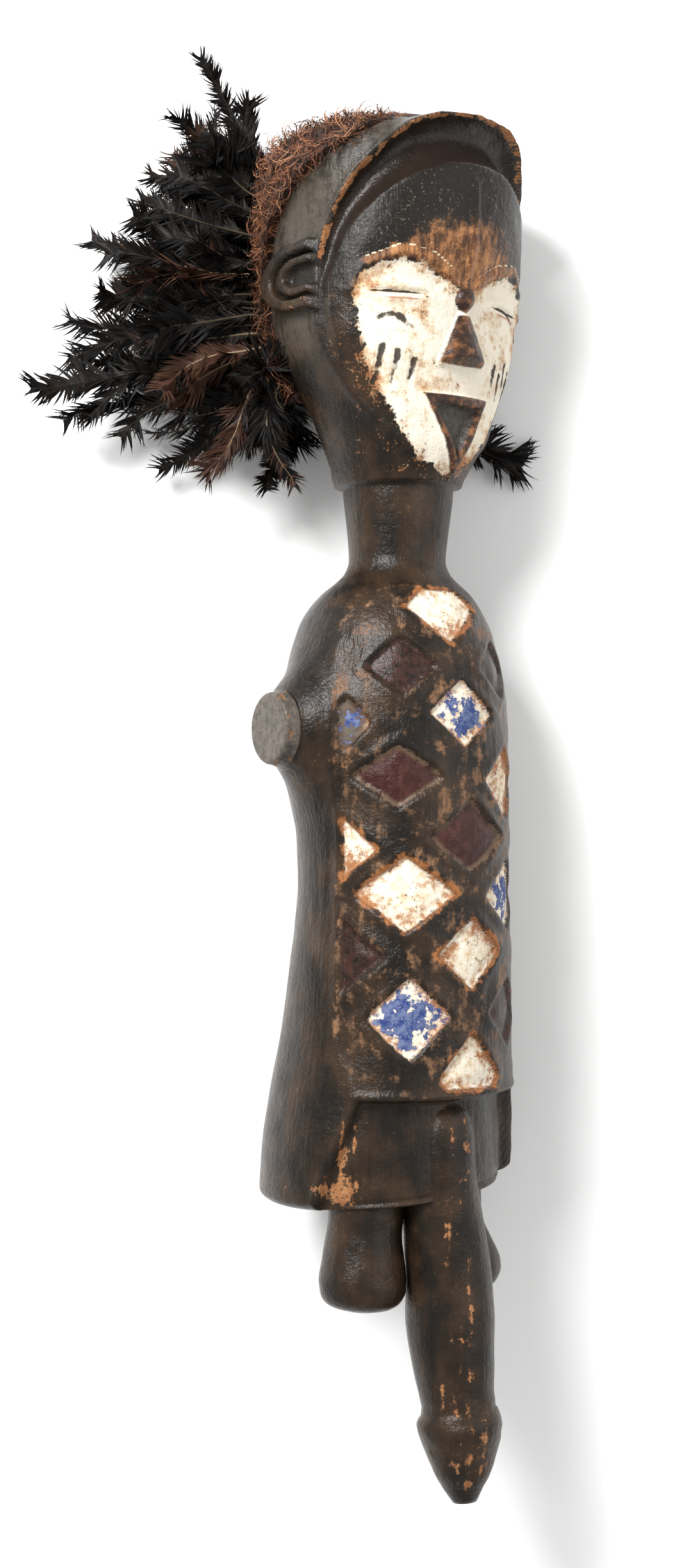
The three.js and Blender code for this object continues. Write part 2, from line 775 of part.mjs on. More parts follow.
function feather(root, outward, tip, width, twist) {
  const reach = tip.clone().sub(root);
  const length = reach.length();
  const control = root.clone().addScaledVector(outward, length * 0.22).addScaledVector(reach, 0.3);
  const path = new THREE.QuadraticBezierCurve3(root, control, tip);
  const widths = [
    [0, 0.16],
    [0.2, 0.45],
    [0.5, 1],
    [0.84, 0.8],
    [1, 0.14],
  ];
  const rings = widths.map(([share, wide]) => {
    const centre = path.getPoint(share);
    centre.z = Math.max(centre.z, featherFloor + (width / 2) * wide * Math.abs(Math.sin(twist)));
    const along = path.getTangent(share);
    const up = new THREE.Vector3(0, 0, 1).addScaledVector(along, -along.z).normalize();
    up.applyAxisAngle(along, twist);
    const side = along.clone().cross(up);
    const half = (width / 2) * wide;
    const thick = featherThickness / 2;
    return [
      centre.clone().addScaledVector(side, half),
      centre.clone().addScaledVector(up, thick),
      centre.clone().addScaledVector(side, -half),
      centre.clone().addScaledVector(up, -thick),
    ];
  });
  return ringSolid(rings);
}

function matFeather([angle, height, tipAside, tipHeight, tipRise, width, twist]) {
  const turn = THREE.MathUtils.degToRad(angle);
  const root = laidPoint(headPoint(turn, headLevel(height), matThickness + pieceGap));
  const outward = laidPoint(polar(turn, 1, 0)).normalize();
  const tip = new THREE.Vector3(-tipAside, headLevel(tipHeight), tipRise);
  return feather(root, outward, tip, width, THREE.MathUtils.degToRad(twist));
}

const feathers = featherRows.map(matFeather);
const underRoot = laidPoint(headPoint(THREE.MathUtils.degToRad(128), headLevel(600), 1.5));
const underTip = new THREE.Vector3(75, headLevel(573), featherFloor + 2);
feathers.push(feather(underRoot, new THREE.Vector3(0.9, 0.2, -0.1), underTip, 17, 0));

const object = new THREE.Group();
const solids = [
  ["carved_figure", laid(figure), woodColour, 0.55],
  ["fibre_mat", laid(mat), fibreColour, 0.9],
];
feathers.forEach((solid, i) => {
  solids.push(["feather_" + String(i + 1).padStart(2, "0"), solid, featherColour, 0.5]);
});

const box = new THREE.Box3();
solids.forEach(([, solid]) => {
  const range = solid.boundingBox();
  box.expandByPoint(new THREE.Vector3(...range.min));
  box.expandByPoint(new THREE.Vector3(...range.max));
});
const middle = box.getCenter(new THREE.Vector3());
const home = new THREE.Matrix4().makeTranslation(-middle.x, -middle.y, restDistance);
solids.forEach(([name, solid, colour, roughness]) => {
  object.add(meshOf(name, solid, colour, roughness, home));
});

export default object;
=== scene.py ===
# %% [markdown]
# A carved wooden figure with a fibre mat and feathers on the back of its head, lying on its back-left side.
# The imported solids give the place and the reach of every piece. This script dresses them for a close look.

# %% The frame and where the upright figure's axis lies in it
import json
import math
import bmesh
import bpy
import numpy as np
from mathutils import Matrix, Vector

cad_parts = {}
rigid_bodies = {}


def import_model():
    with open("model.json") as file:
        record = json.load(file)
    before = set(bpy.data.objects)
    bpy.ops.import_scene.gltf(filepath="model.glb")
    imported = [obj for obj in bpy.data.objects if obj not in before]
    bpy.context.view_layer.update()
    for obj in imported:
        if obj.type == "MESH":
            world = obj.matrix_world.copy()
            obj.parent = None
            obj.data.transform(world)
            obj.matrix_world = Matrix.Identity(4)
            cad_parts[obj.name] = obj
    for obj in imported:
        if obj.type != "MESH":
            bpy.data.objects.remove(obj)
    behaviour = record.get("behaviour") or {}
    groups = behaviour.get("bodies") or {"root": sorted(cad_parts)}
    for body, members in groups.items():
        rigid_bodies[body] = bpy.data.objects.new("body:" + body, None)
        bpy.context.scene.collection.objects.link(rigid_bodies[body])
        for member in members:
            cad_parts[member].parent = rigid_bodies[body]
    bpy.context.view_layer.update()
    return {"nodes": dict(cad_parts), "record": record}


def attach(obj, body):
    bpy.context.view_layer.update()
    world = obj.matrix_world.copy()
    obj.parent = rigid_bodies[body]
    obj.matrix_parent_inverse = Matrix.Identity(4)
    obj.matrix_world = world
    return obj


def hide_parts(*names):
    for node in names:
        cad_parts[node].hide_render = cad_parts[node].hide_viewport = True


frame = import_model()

ROLL = math.radians(40)          # the front looks this far from straight up
ARM_ANGLE = math.radians(95)
RIGHT_ARM_REACH = 81.0
LEFT_ARM_REACH = 77.0
ARM_HEIGHT = 421.0
mounts = {m["name"]: np.array(m["pos_m"]) * 1000 for m in frame["record"]["mounts"]}
SIDE = np.array([math.cos(ROLL), 0, -math.sin(ROLL)])      # to the figure's left
FRONT = np.array([math.sin(ROLL), 0, math.cos(ROLL)])
UP = np.array([0.0, 1.0, 0.0])
arm_end = -math.sin(ARM_ANGLE) * RIGHT_ARM_REACH * SIDE + math.cos(ARM_ANGLE) * RIGHT_ARM_REACH * FRONT
HOME = mounts["right_arm_end"] - arm_end - ARM_HEIGHT * UP
print("axis starts at", HOME.round(2), "mm")

# %% [markdown]
# The figure is worked out upright, in millimetres: x to its left, y forward, z up.
# `place` lays such points down in the frame, in metres.

# %% Placing, smooth profiles and meshes
def place(points):
    p = np.asarray(points, float)
    return (HOME + p[..., :1] * SIDE + p[..., 1:2] * FRONT + p[..., 2:3] * UP) / 1000


def profile(stations, column):
    """A smooth curve through stations, of which the first number is the height."""
    s = np.array(stations, float)
    h, v = s[:, 0], s[:, column]
    step = np.diff(v) / np.diff(h)
    slope = np.zeros(len(h))
    same = step[1:] * step[:-1] > 0
    slope[1:-1][same] = 2 * step[1:][same] * step[:-1][same] / (step[1:] + step[:-1])[same]
    slope[0], slope[-1] = step[0], step[-1]

    def at(z):
        z = np.clip(z, h[0], h[-1])
        i = np.clip(np.searchsorted(h, z, side="right") - 1, 0, len(h) - 2)
        span = h[i + 1] - h[i]
        t = (z - h[i]) / span
        u = t * t * (3 - 2 * t)
        return (v[i] * (1 - u) + v[i + 1] * u + t * (1 - t) ** 2 * span * slope[i]
                + t * t * (t - 1) * span * slope[i + 1])
    return at


def smooth_step(low, high, x):
    t = np.clip((x - low) / (high - low), 0, 1)
    return t * t * (3 - 2 * t)


def smooth_min(a, b, width):
    h = np.maximum(width - np.abs(a - b), 0) / width
    return np.minimum(a, b) - h * h * width / 4


def add_object(name, mesh):
    made = bpy.data.objects.new(name, mesh)
    bpy.context.scene.collection.objects.link(made)
    return made


def mesh_object(name, points, faces):
    mesh = bpy.data.meshes.new(name)
    mesh.from_pydata([tuple(p) for p in points], [], faces)
    mesh.validate()
    return add_object(name, mesh)


def points_of(made):
    return np.array([v.co[:] for v in made.data.vertices])


def move_points(made, points):
    made.data.vertices.foreach_set("co", points.astype(np.float32).ravel())


def give(made, name, values, kind="FLOAT", field="value"):
    """Stores a value on each vertex under a name."""
    layer = made.data.attributes.new(name, kind, "POINT")
    layer.data.foreach_set(field, np.asarray(values, np.float32).ravel())


def face_outward(made):
    """Turns every face outward."""
    work = bmesh.new()
    work.from_mesh(made.data)
    bmesh.ops.recalc_face_normals(work, faces=work.faces)
    work.to_mesh(made.data)
    work.free()
    return made


def ring_object(name, rings):
    """A closed skin through rings of the same number of points, closed by a fan at both ends."""
    rings = np.asarray(rings, float)
    rows, count = rings.shape[:2]
    points = np.vstack([rings.reshape(-1, 3), rings[0].mean(0), rings[-1].mean(0)])
    faces = []
    for i in range(rows - 1):
        for j in range(count):
            k = (j + 1) % count
            faces.append((i * count + j, i * count + k, (i + 1) * count + k, (i + 1) * count + j))
    for end, centre in ((0, rows * count), (rows - 1, rows * count + 1)):
        for j in range(count):
            k = (j + 1) % count
            faces.append((centre, end * count + k, end * count + j))
    return face_outward(mesh_object(name, points, faces))


# %% [markdown]
# The trunk, the neck and the head are one skin round the axis. Its reach from the axis is a function
# of the angle from the front and of the height, so all carving on it is relief on that reach.

# %% Sizes of trunk, neck and head
HEM = 172.5
HEAD_BASE = 553.0
CROWN = 742.0
TRUNK = [
    (HEM, 68.6, -2.8, -0.9), (176.5, 69.9, -2.8, -0.9), (192, 69.4, -2.6, -0.8), (225, 66.3, -1.0, -0.2),
    (260, 62.6, 0, 3.0), (295, 60.0, 0, 6.2), (316, 58.3, 0, 7.8), (341, 57.2, 0, 8.6), (365, 58.0, 0, 8.0),
    (386, 59.8, 0, 4.6), (412, 61.4, 0, 2.4), (435, 60.9, 0, 1.6), (449, 58.9, 0, 1.2), (463, 56.2, 0, 0.8),
    (477, 52.0, 0, 0.8), (487, 46.6, 0, 1.4), (495, 40.2, 0, 2.2), (501, 33.2, 0, 3.0), (506, 28.6, 0, 3.4),
    (513, 26.4, 0, 3.6), (530, 27.8, 0, 4.2), (547, 29.8, 0, 4.4), (559, 30.5, 0, 4.4)]
HEAD = [
    (HEAD_BASE, 34.6, 4.4), (556, 35.6, 4.4), (563, 38.2, 6.2), (576, 43.9, 8.2), (591, 50.0, 8.6),
    (603, 55.4, 7.6), (616, 61.6, 5.6), (630, 66.0, 4.0), (651, 68.2, 2.7), (680, 68.6, 2.2),
    (703, 68.4, 2.4), (716, 67.8, 3.2), (726, 65.8, 3.6), (732, 62.6, 3.8), (737, 56.6, 4.0),
    (740, 47.0, 4.0), (CROWN, 26.0, 2.0)]
FACE = [
    (HEAD_BASE, 44.5), (562, 46.5), (583, 48.5), (600, 50.5), (622, 54.5), (640, 56.0), (652, 58.0),
    (664, 62.0), (680, 65.8), (700, 68.5), (714, 71.0), (CROWN, 71.0)]
FACE_CURVE = 0.006
trunk_radius, trunk_aside, trunk_forward = (profile(TRUNK, c) for c in (1, 2, 3))
head_radius, head_forward = (profile(HEAD, c) for c in (1, 2))
face_forward = profile(FACE, 1)


def trunk_reach(angle, z):
    f, a, r = trunk_forward(z), trunk_aside(z), trunk_radius(z)
    c, s = np.cos(angle), np.sin(angle)
    return f * c + a * s + np.sqrt(r * r - (f * s - a * c) ** 2)


def head_reach(angle, z):
    f, r = head_forward(z), head_radius(z)
    c, s = np.cos(angle), np.sin(angle)
    around = f * c + np.sqrt(np.maximum(r * r - f * f * s * s, 0))
    front = face_forward(z)
    bend = np.maximum(FACE_CURVE * s * s, 1e-6)
    flat = (-c + np.sqrt(np.maximum(c * c + 4 * bend * front, 0))) / (2 * bend)
    return np.where(c > 0.02, smooth_min(around, flat, 4), around)


# %% [markdown]
# The lozenges' corners are rounded and their floors a little pillowy. Each is an angle of its centre in
# degrees, a height, half width, half height and a pigment: 1 white, 2 blue, 3 dark red, 4 bare dark wood.

# %% Relief on the trunk
PANEL_RIGHT, PANEL_LEFT, PANEL_LOW, PANEL_HIGH = -72.5, 69.0, 227.0, 500.0
LOZENGE_DEPTH, LOZENGE_PILLOW, LOZENGE_INSET, LOZENGE_ROUNDING = 2.4, 0.9, 5.5, 1.5
SKIRT_DEPTH, SKIRT_DEEPENING = 7.6, 3.4
SHOULDER_RISE, SHOULDER_RADIUS = 13.5, 63.0
LOZENGES = [
    (-7.5, 484.5, 23, 19, 1), (-4.4, 428.8, 21.3, 18.5, 2), (-2, 364.5, 24, 20, 3),
    (-1.5, 303.5, 20.7, 19.5, 1), (-2, 238, 21, 24, 1), (-37.2, 453.4, 20.3, 16, 4),
    (-39, 395.5, 25.8, 16.7, 3), (-35, 334.8, 25.7, 20.2, 1), (-34, 270.2, 22.4, 22, 2),
    (27, 453, 18, 16, 4), (28, 393, 21, 19, 1), (28, 333, 21, 19.5, 2), (27, 271, 18.5, 18, 4),
    (-64, 423, 14, 14.5, 2), (-72, 358, 24.8, 19.5, 1), (-69, 302, 26.5, 21, 4),
    (62, 424, 15, 16, 1), (64, 362, 20, 19, 3), (63, 302, 20, 20, 1)]


def wrap(angle):
    return (angle + math.pi) % (2 * math.pi) - math.pi


def smooth_noise(seed, x, y, size):
    """Lattice noise of two coordinates, between -1 and 1, the same on every run."""
    def lattice(i, j):
        v = np.sin(i * 127.1 + j * 311.7 + seed * 74.7) * 43758.5453
        return (v - np.floor(v)) * 2 - 1
    x, y = np.asarray(x) / size, np.asarray(y) / size
    i, j = np.floor(x), np.floor(y)
    u, v = x - i, y - j
    u, v = u * u * (3 - 2 * u), v * v * (3 - 2 * v)
    return ((lattice(i, j) * (1 - u) + lattice(i + 1, j) * u) * (1 - v)
            + (lattice(i, j + 1) * (1 - u) + lattice(i + 1, j + 1) * u) * v)


def panel_distance(angle, z):
    """Millimetres inside the panel's border, negative outside it."""
    radius = trunk_radius(z)
    d = np.degrees(angle)
    right = PANEL_RIGHT + 12 * smooth_step(262, 226, z) - 2.5 * smooth_step(430, 480, z)
    left = PANEL_LEFT - 26 * smooth_step(262, 226, z)
    across = np.minimum(d - right, left - d) * np.radians(1) * radius
    return np.minimum(np.minimum(across, z - PANEL_LOW), PANEL_HIGH - z)


def lozenge_field(angle, z):
    """Distance inside the nearest lozenge in mm (negative outside) and its number."""
    angle, z = np.broadcast_arrays(angle, z)
    best = np.full(angle.shape, -99.0)
    which = np.zeros(angle.shape, int)
    radius = trunk_radius(z)
    wobble_x = smooth_noise(3, angle * 60, z, 17) * 0.9
    wobble_z = smooth_noise(4, angle * 60, z, 15) * 0.9
    for n, (degrees, height, half_x, half_z, _) in enumerate(LOZENGES):
        x = wrap(angle - math.radians(degrees)) * radius + wobble_x
        v = z - height + wobble_z
        inside = 1 - (np.sqrt(x * x + LOZENGE_ROUNDING) / half_x
                      + np.sqrt(v * v + LOZENGE_ROUNDING) / half_z)
        distance = inside * half_x * half_z / math.hypot(half_x, half_z)
        closer = distance > best
        best = np.where(closer, distance, best)
        which = np.where(closer, n, which)
    return best, which


def trunk_relief(angle, z):
    angle, z = np.broadcast_arrays(angle, z)
    border = panel_distance(angle, z)
    lozenge, which = lozenge_field(angle, z)
    lozenge = np.minimum(lozenge, border - LOZENGE_INSET)
    inside = smooth_step(-0.7, 0.9, lozenge)
    floor = LOZENGE_PILLOW * smooth_step(1, 9, lozenge) - LOZENGE_DEPTH
    band = np.exp(-((np.clip(-lozenge, 0, 99) - 2.6) / 2.4) ** 2) * 0.45
    in_panel = smooth_step(-0.5, 2.5, border)
    relief = inside * floor + (1 - inside) * (band * in_panel - 0.2 * in_panel)
    relief += 0.45 * np.exp(-((border - 2.4) / 2.4) ** 2) * smooth_step(500, 470, z)
    # The stepped-back place under the panel, with a slanting right wall
    d = np.degrees(angle)
    right, left = -77 + 20 * (z - HEM) / 55, 64 - 8 * (z - HEM) / 55
    across = np.minimum(d - right, left - d) * np.radians(1) * trunk_radius(z)
    under = np.minimum(across, PANEL_LOW + 0.6 - z)
    relief -= (SKIRT_DEPTH + SKIRT_DEEPENING * smooth_step(2, 26, across)) * smooth_step(-1.0, 1.6, under)
    relief += 0.7 * np.exp(-((under + 2.6) / 1.9) ** 2) * smooth_step(HEM, HEM + 12, z)
    # The shoulders flow out into the arms
    for side in (-1, 1):
        u = wrap(angle - side * ARM_ANGLE) * SHOULDER_RADIUS
        gap = np.hypot(u, (z - ARM_HEIGHT - 1.5) * 0.93)
        relief += SHOULDER_RISE * np.exp(-(np.maximum(gap - 15, 0) / 14.5) ** 1.7)
    # The ripples of the knife, longer along the grain
    relief += 0.28 * smooth_noise(11, angle * 60, z, 11) + 0.16 * smooth_noise(12, angle * 60, z * 0.4, 5)
    return relief


print("lozenges", len(LOZENGES))

# %% [markdown]
# The head's carving: brows, eyes, nose, knob, mouth and cheek cuts are a lift of the face by the distance
# aside and the height. Between the hood's edge and the forehead's edge runs a hollowed channel.

# %% Relief on the head
# The hood's edge and the forehead's edge, as angles from the front in degrees and heights
RIM_ARCH = [(0, 739.5), (20, 737.6), (33.5, 731.5), (42.5, 723.5), (49.9, 715.6), (56.4, 708.5), (61.7, 700),
            (66.5, 691.6), (69.4, 685.2), (73.2, 673.6), (75.8, 660), (77.5, 644)]
DOME_ARCH = [(0, 713.8), (15.9, 712.4), (25.5, 708.3), (35.6, 703.1), (43.7, 697), (50.5, 690.5),
             (56.9, 683.5), (61.5, 676.4), (65.8, 666.1), (69.8, 655.1), (73.5, 644)]
SIDE_RIDGE = [(76.5, 662, 0.2), (78.5, 645, 0.9), (78.2, 627, 1), (72.4, 610, 1), (65, 597, 1),
              (53.6, 584.5, 1), (41.7, 575, 0.9), (27, 565, 0.5)]
ARCH_LOW, ARCH_RADIUS = 640.0, 66.0
SIDE_LINE = [(math.radians(a) * ARCH_RADIUS, h - ARCH_LOW, share) for a, h, share in SIDE_RIDGE]


def unrolled(angle, z):
    return np.abs(angle) * ARCH_RADIUS, z - ARCH_LOW


def arch(points):
    """Distance of an arch from its middle below, as a function of the direction."""
    u, v = unrolled(np.radians([p[0] for p in points]), np.array([p[1] for p in points], float))
    turn, reach = np.arctan2(v, u)[::-1], np.hypot(u, v)[::-1]
    return lambda t: np.interp(t, turn, reach)


rim_arch, dome_arch = arch(RIM_ARCH), arch(DOME_ARCH)


def channel_share(angle, z):
    """0 at the hood's edge and 1 at the forehead's, with the distance between them in mm."""
    u, v = unrolled(angle, z)
    turn, reach = np.arctan2(v, u), np.hypot(u, v)
    rim, dome = rim_arch(turn), dome_arch(turn)
    width = np.maximum(rim - dome, 0.5)
    return (rim - reach) / width, width * smooth_step(0.04, 0.3, turn), turn


def stroke(x, z, stops, width):
    """A soft ridge of height 1 along a polyline of (x, z, share) stops."""
    out = np.zeros(x.shape)
    for (x0, z0, w0), (x1, z1, w1) in zip(stops[:-1], stops[1:]):
        dx, dz = x1 - x0, z1 - z0
        t = np.clip(((x - x0) * dx + (z - z0) * dz) / (dx * dx + dz * dz), 0, 1)
        gap = np.hypot(x - x0 - t * dx, z - z0 - t * dz)
        share = w0 + t * (w1 - w0)
        out = np.maximum(out, share * np.exp(-(gap / width) ** 2))
    return out


def triangle_distance(x, z, corners):
    """Distance inside a triangle with its corners given anticlockwise."""
    best = np.full(x.shape, 1e9)
    for (x0, z0), (x1, z1) in zip(corners, corners[1:] + corners[:1]):
        dx, dz = x1 - x0, z1 - z0
        best = np.minimum(best, (dx * (z - z0) - dz * (x - x0)) / math.hypot(dx, dz))
    return best


BROW = [(3, 651, 0.4), (12, 657, 1), (22, 662.5, 1), (40, 666, 1), (55, 659, 1), (59, 647, 0.6)]
EYE = [(19, 647, 0.3), (27, 649.4, 1), (41, 649.6, 1), (57, 647.2, 0.5)]
EYE_SLIT = [(21, 646.6, 0.2), (30, 647.0, 1), (43, 647.0, 1), (57, 646.2, 0.5)]
LOWER_LID = [(21, 645.0, 0.3), (30, 643.4, 1), (43, 643.4, 1), (55, 644.8, 0.4)]
MOUTH = [(-21.5, 596.4), (5.0, 555.5), (23.5, 597)]
MOUTH_INNER = [(-13.6, 591.4), (4.2, 565), (17.5, 592)]
NOSE_HALF, NOSE_BRIDGE, NOSE_ASIDE, NOSE_TOP, NOSE_LOW, NOSE_RISE = 15.0, 2.6, 0.8, 641.0, 614.5, 8.4
KNOB, KNOB_RADIUS = (0.3, 646.0), 5.8
FOREHEAD_RIDGE = [(0, 652, 0.3), (0, 664, 1), (-0.6, 690, 1), (-2.5, 704, 0.8), (-9, 711, 0.2)]
CHEEK_CUTS = (28.3, 37.3, 45.2)


def nose_half(z):
    """Half width of the nose at a height, and the share of its length above that height."""
    t = np.clip((NOSE_TOP - z) / (NOSE_TOP - NOSE_LOW), 0, 1)
    return NOSE_BRIDGE + (NOSE_HALF - NOSE_BRIDGE) * t ** 0.9, t


def nose_lift(x, z):
    """A wedge that widens downwards and ends in a rounded, slightly drooping foot."""
    half, t = nose_half(z)
    across = np.abs(x - NOSE_ASIDE) / half
    flank = np.clip(1 - across ** 2.4, 0, 1) ** 0.6
    fall = smooth_step(NOSE_LOW - 3.0, NOSE_LOW + 1.4, z + 2.4 * across ** 3)
    return (1.0 + NOSE_RISE * t) * flank * fall * smooth_step(NOSE_TOP + 4, NOSE_TOP - 4, z)


def head_relief(x, z):
    """Lift of the face's surface at x aside and height z, in mm."""
    far = np.abs(x)
    lift = 1.9 * stroke(far, z, BROW, 2.6)
    lift += 2.0 * stroke(far, z, EYE, 2.5)
    lift -= 1.9 * stroke(far, z, EYE_SLIT, 0.85)
    lift += 1.2 * stroke(far, z, LOWER_LID, 1.7)
    lift -= 1.6 * smooth_step(14, 4, np.abs(z - 656)) * smooth_step(8, 20, far) * smooth_step(62, 48, far)
    lift += 1.7 * stroke(x, z, FOREHEAD_RIDGE, 1.8)
    lift += 4.6 * np.sqrt(np.clip(1 - ((x - KNOB[0]) ** 2 + (z - KNOB[1]) ** 2) / KNOB_RADIUS ** 2, 0, 1))
    lift += nose_lift(x, z)
    outer = triangle_distance(x, z, MOUTH)
    inner = triangle_distance(x, z, MOUTH_INNER)
    lift += 2.8 * smooth_step(-1.2, 1.2, outer) - 5.2 * smooth_step(-0.8, 1.6, inner)
    for bar in CHEEK_CUTS:
        lift -= 0.8 * smooth_step(1.9, 0.6, np.abs(far - bar)) * smooth_step(3, 0, np.abs(z - 609) - 8)
    return lift


def head_skin(angle, z):
    """Reach of the head with its carving, at one height."""
    plain = head_reach(angle, z)
    # The hood's front stands up to a sharp corner instead of rounding off into the crown
    upright = smooth_step(math.radians(72), math.radians(34), np.abs(angle))
    edge = np.interp(np.degrees(np.abs(angle)), [p[0] for p in RIM_ARCH], [p[1] for p in RIM_ARCH])
    fall = smooth_step(8, -0.5, z - edge) ** 1.6
    reach = plain + upright * np.maximum(70.6 - plain, 0) * smooth_step(716, 734, z) * fall
    x = reach * np.sin(angle)
    lift = head_relief(x, z) * smooth_step(0.08, 0.3, np.cos(angle))
    u, v = unrolled(angle, z)
    lift += 1.3 * stroke(u, v, SIDE_LINE, 3.6)
    share, width, turn = channel_share(angle, z)
    inside = np.clip(share, 0, 1) ** 0.66
    depth = 0.52 * width * (4 * inside * (1 - inside)) ** 0.85
    lift -= np.where((share > 0) & (share < 1), depth, 0)
    lift += 0.9 * np.exp(-((share * width + 1.0) / 1.6) ** 2) * smooth_step(0.1, 0.5, turn)
    lift += 0.22 * smooth_noise(41, angle * 60, z, 9) + 0.12 * smooth_noise(42, angle * 60, z, 4)
    return reach + lift


# %% [markdown]
# The skin is built ring by ring, closer where the carving is fine. The hem is rounded and a little tilted.

# %% The skin
def spread(edges):
    """Values from (start, end, step) runs, joined."""
    out = []
    for start, end, step in edges:
        out.extend(np.linspace(start, end, max(2, int(round((end - start) / step)) + 1))[:-1])
    out.append(edges[-1][1])
    return np.array(out)


angles = np.radians(spread([(-84, 78, 1.0), (78, 276, 3.0)])[:-1])
low_heights = spread([(HEM + 0.01, HEM + 6, 1.0), (HEM + 6, 222, 2.0), (222, 500, 1.6),
                      (500, HEAD_BASE - 0.5, 2.4)])
head_heights = spread([(HEAD_BASE, 556, 1.0), (556, 672, 1.15), (672, 735, 1.3), (735, CROWN - 1, 0.75)])
HEM_TILT, HEM_TILT_REACH = 5.5, 45.0


def tilt(angle, z):
    return HEM_TILT * np.clip(1 - (z - HEM) / HEM_TILT_REACH, 0, 1) * np.sin(angle + ROLL)


def around(reach, z):
    """Points round the axis at a reach and a height, which may both change with the angle."""
    return np.stack([reach * np.sin(angles), reach * np.cos(angles), np.broadcast_to(z, angles.shape)], 1)


rings = []
for z in low_heights:
    inset = 6 * (1 - math.sqrt(max(0, 1 - max(0, 1 - (z - HEM) / 6) ** 2)))
    relief = trunk_relief(angles, z) * smooth_step(HEM - 2, HEM + 3, z) * (1 - smooth_step(490, 503, z))
    rings.append(around(trunk_reach(angles, z) - inset + relief, z + tilt(angles, z)))
rings.insert(0, rings[0] * [0.6, 0.6, 1])
for z in head_heights:
    rings.append(around(head_skin(angles, z), z))
for share in (0.8, 0.6, 0.4, 0.2):
    rings.append(around(head_skin(angles, CROWN) * share, CROWN + 0.6 * (1 - share)))
skin = ring_object("skin", rings)
print("skin", len(skin.data.polygons), "faces")

# %% [markdown]
# Arms, legs, shaft and ears are rods and plates of their own, later joined with the skin into one solid.

# %% Rods
def finer(stops, steps):
    """Points on a smooth curve through the stops, the last number of each being a radius."""
    s = np.array(stops, float)
    ends = np.vstack([2 * s[0] - s[1], s, 2 * s[-1] - s[-2]])
    out = []
    for i in range(1, len(ends) - 2):
        a, b, c, d = ends[i - 1:i + 3]
        for t in np.arange(steps) / steps:
            out.append(0.5 * (2 * b + (c - a) * t + (2 * a - 5 * b + 4 * c - d) * t * t
                              + (3 * b - a - 3 * c + d) * t ** 3))
    out.append(s[-1])
    return np.array(out)


def rod(name, stops, sides, steps=5):
    """A rod through (x, forward, z, radius) stops."""
    line = finer(stops, steps)
    line[:, 3] = np.maximum(line[:, 3], 0.4)
    rings = []
    for i, (x, f, z, r) in enumerate(line):
        along = line[min(i + 1, len(line) - 1), :3] - line[max(i - 1, 0), :3]
        along = along / np.linalg.norm(along)
        side = np.cross([0, 1, 0], along)
        if np.linalg.norm(side) < 0.2:
            side = np.array([1.0, 0, 0])
        side = side - along * (side @ along)
        side = side / np.linalg.norm(side)
        up = np.cross(along, side)
        a = np.linspace(0, 2 * np.pi, sides, endpoint=False)
        wave = 1 + 0.012 * np.sin(a * 3 + i * 0.31) + 0.010 * smooth_noise(21, a * 9, i * 3.0, 7)
        across = (r * wave * np.cos(a))[:, None] * side
        upward = (r * wave * np.sin(a))[:, None] * up
        rings.append(np.array([x, f, z]) + across + upward)
    return ring_object(name, rings)


# Each stop of the shaft is a height, a radius and how far forward its middle lies
SHAFT_ASIDE, SHAFT_LEAN = 0.8, 6.5
SHAFT = [
    (226, 8, 47), (220, 13.5, 46), (208, 17.5, 45), (190, 19.6, 43.6), (172, 20.6, 43), (150, 22.0, 43.2),
    (130, 22.8, 43.8), (108, 23.6, 45.2), (84, 21.6, 48.2), (72, 20.0, 50.0), (65.5, 19.5, 51.2),
    (62, 19.9, 51.6), (59, 21.4, 52.1), (55, 22.5, 52.5), (50, 22.0, 53.0), (43, 20.0, 53.6),
    (36, 17.4, 54.3), (29, 14.7, 55.0), (22.5, 11.1, 55.6), (14.7, 6.5, 56.6)]
shaft_stops = [(SHAFT_ASIDE - SHAFT_LEAN * float(smooth_step(125, 195, z)), f, z, r) for z, r, f in SHAFT]
shaft = rod("shaft", shaft_stops, 72, 4)

LEG_END, LEG_FORWARD, LEG_SPLAY = 115.0, 19.5, 4.0
LEG_SHARES = [(-0.2, 0), (0.1, 0), (0.3, 0), (0.52, 0.5), (0.72, 1.0), (0.87, 0.95), (0.96, 0.76),
              (1.0, 0.45)]


def leg(name, side, aside, radius, neck):
    stops = []
    for along, wide in LEG_SHARES:
        share = neck + (1 - neck) * wide if along < 0.7 else wide
        stops.append((side * (aside - LEG_SPLAY * (1 - along)), LEG_FORWARD, HEM - (HEM - LEG_END) * along,
                      radius * share))
    return rod(name, stops, 56, 5)


legs = [leg("right_leg", -1, 39.6, 23.2, 0.86), leg("left_leg", 1, 33.5, 21.6, 0.6)]

ARM_RADIUS, ARM_BEVEL = 19.0, 2.2
ARM_SHARES = [(0.3, 1.7), (0.7, 1.45), (0.8, 1.3), (0.86, 1.17), (0.91, 1.07), (0.968, 1.0)]


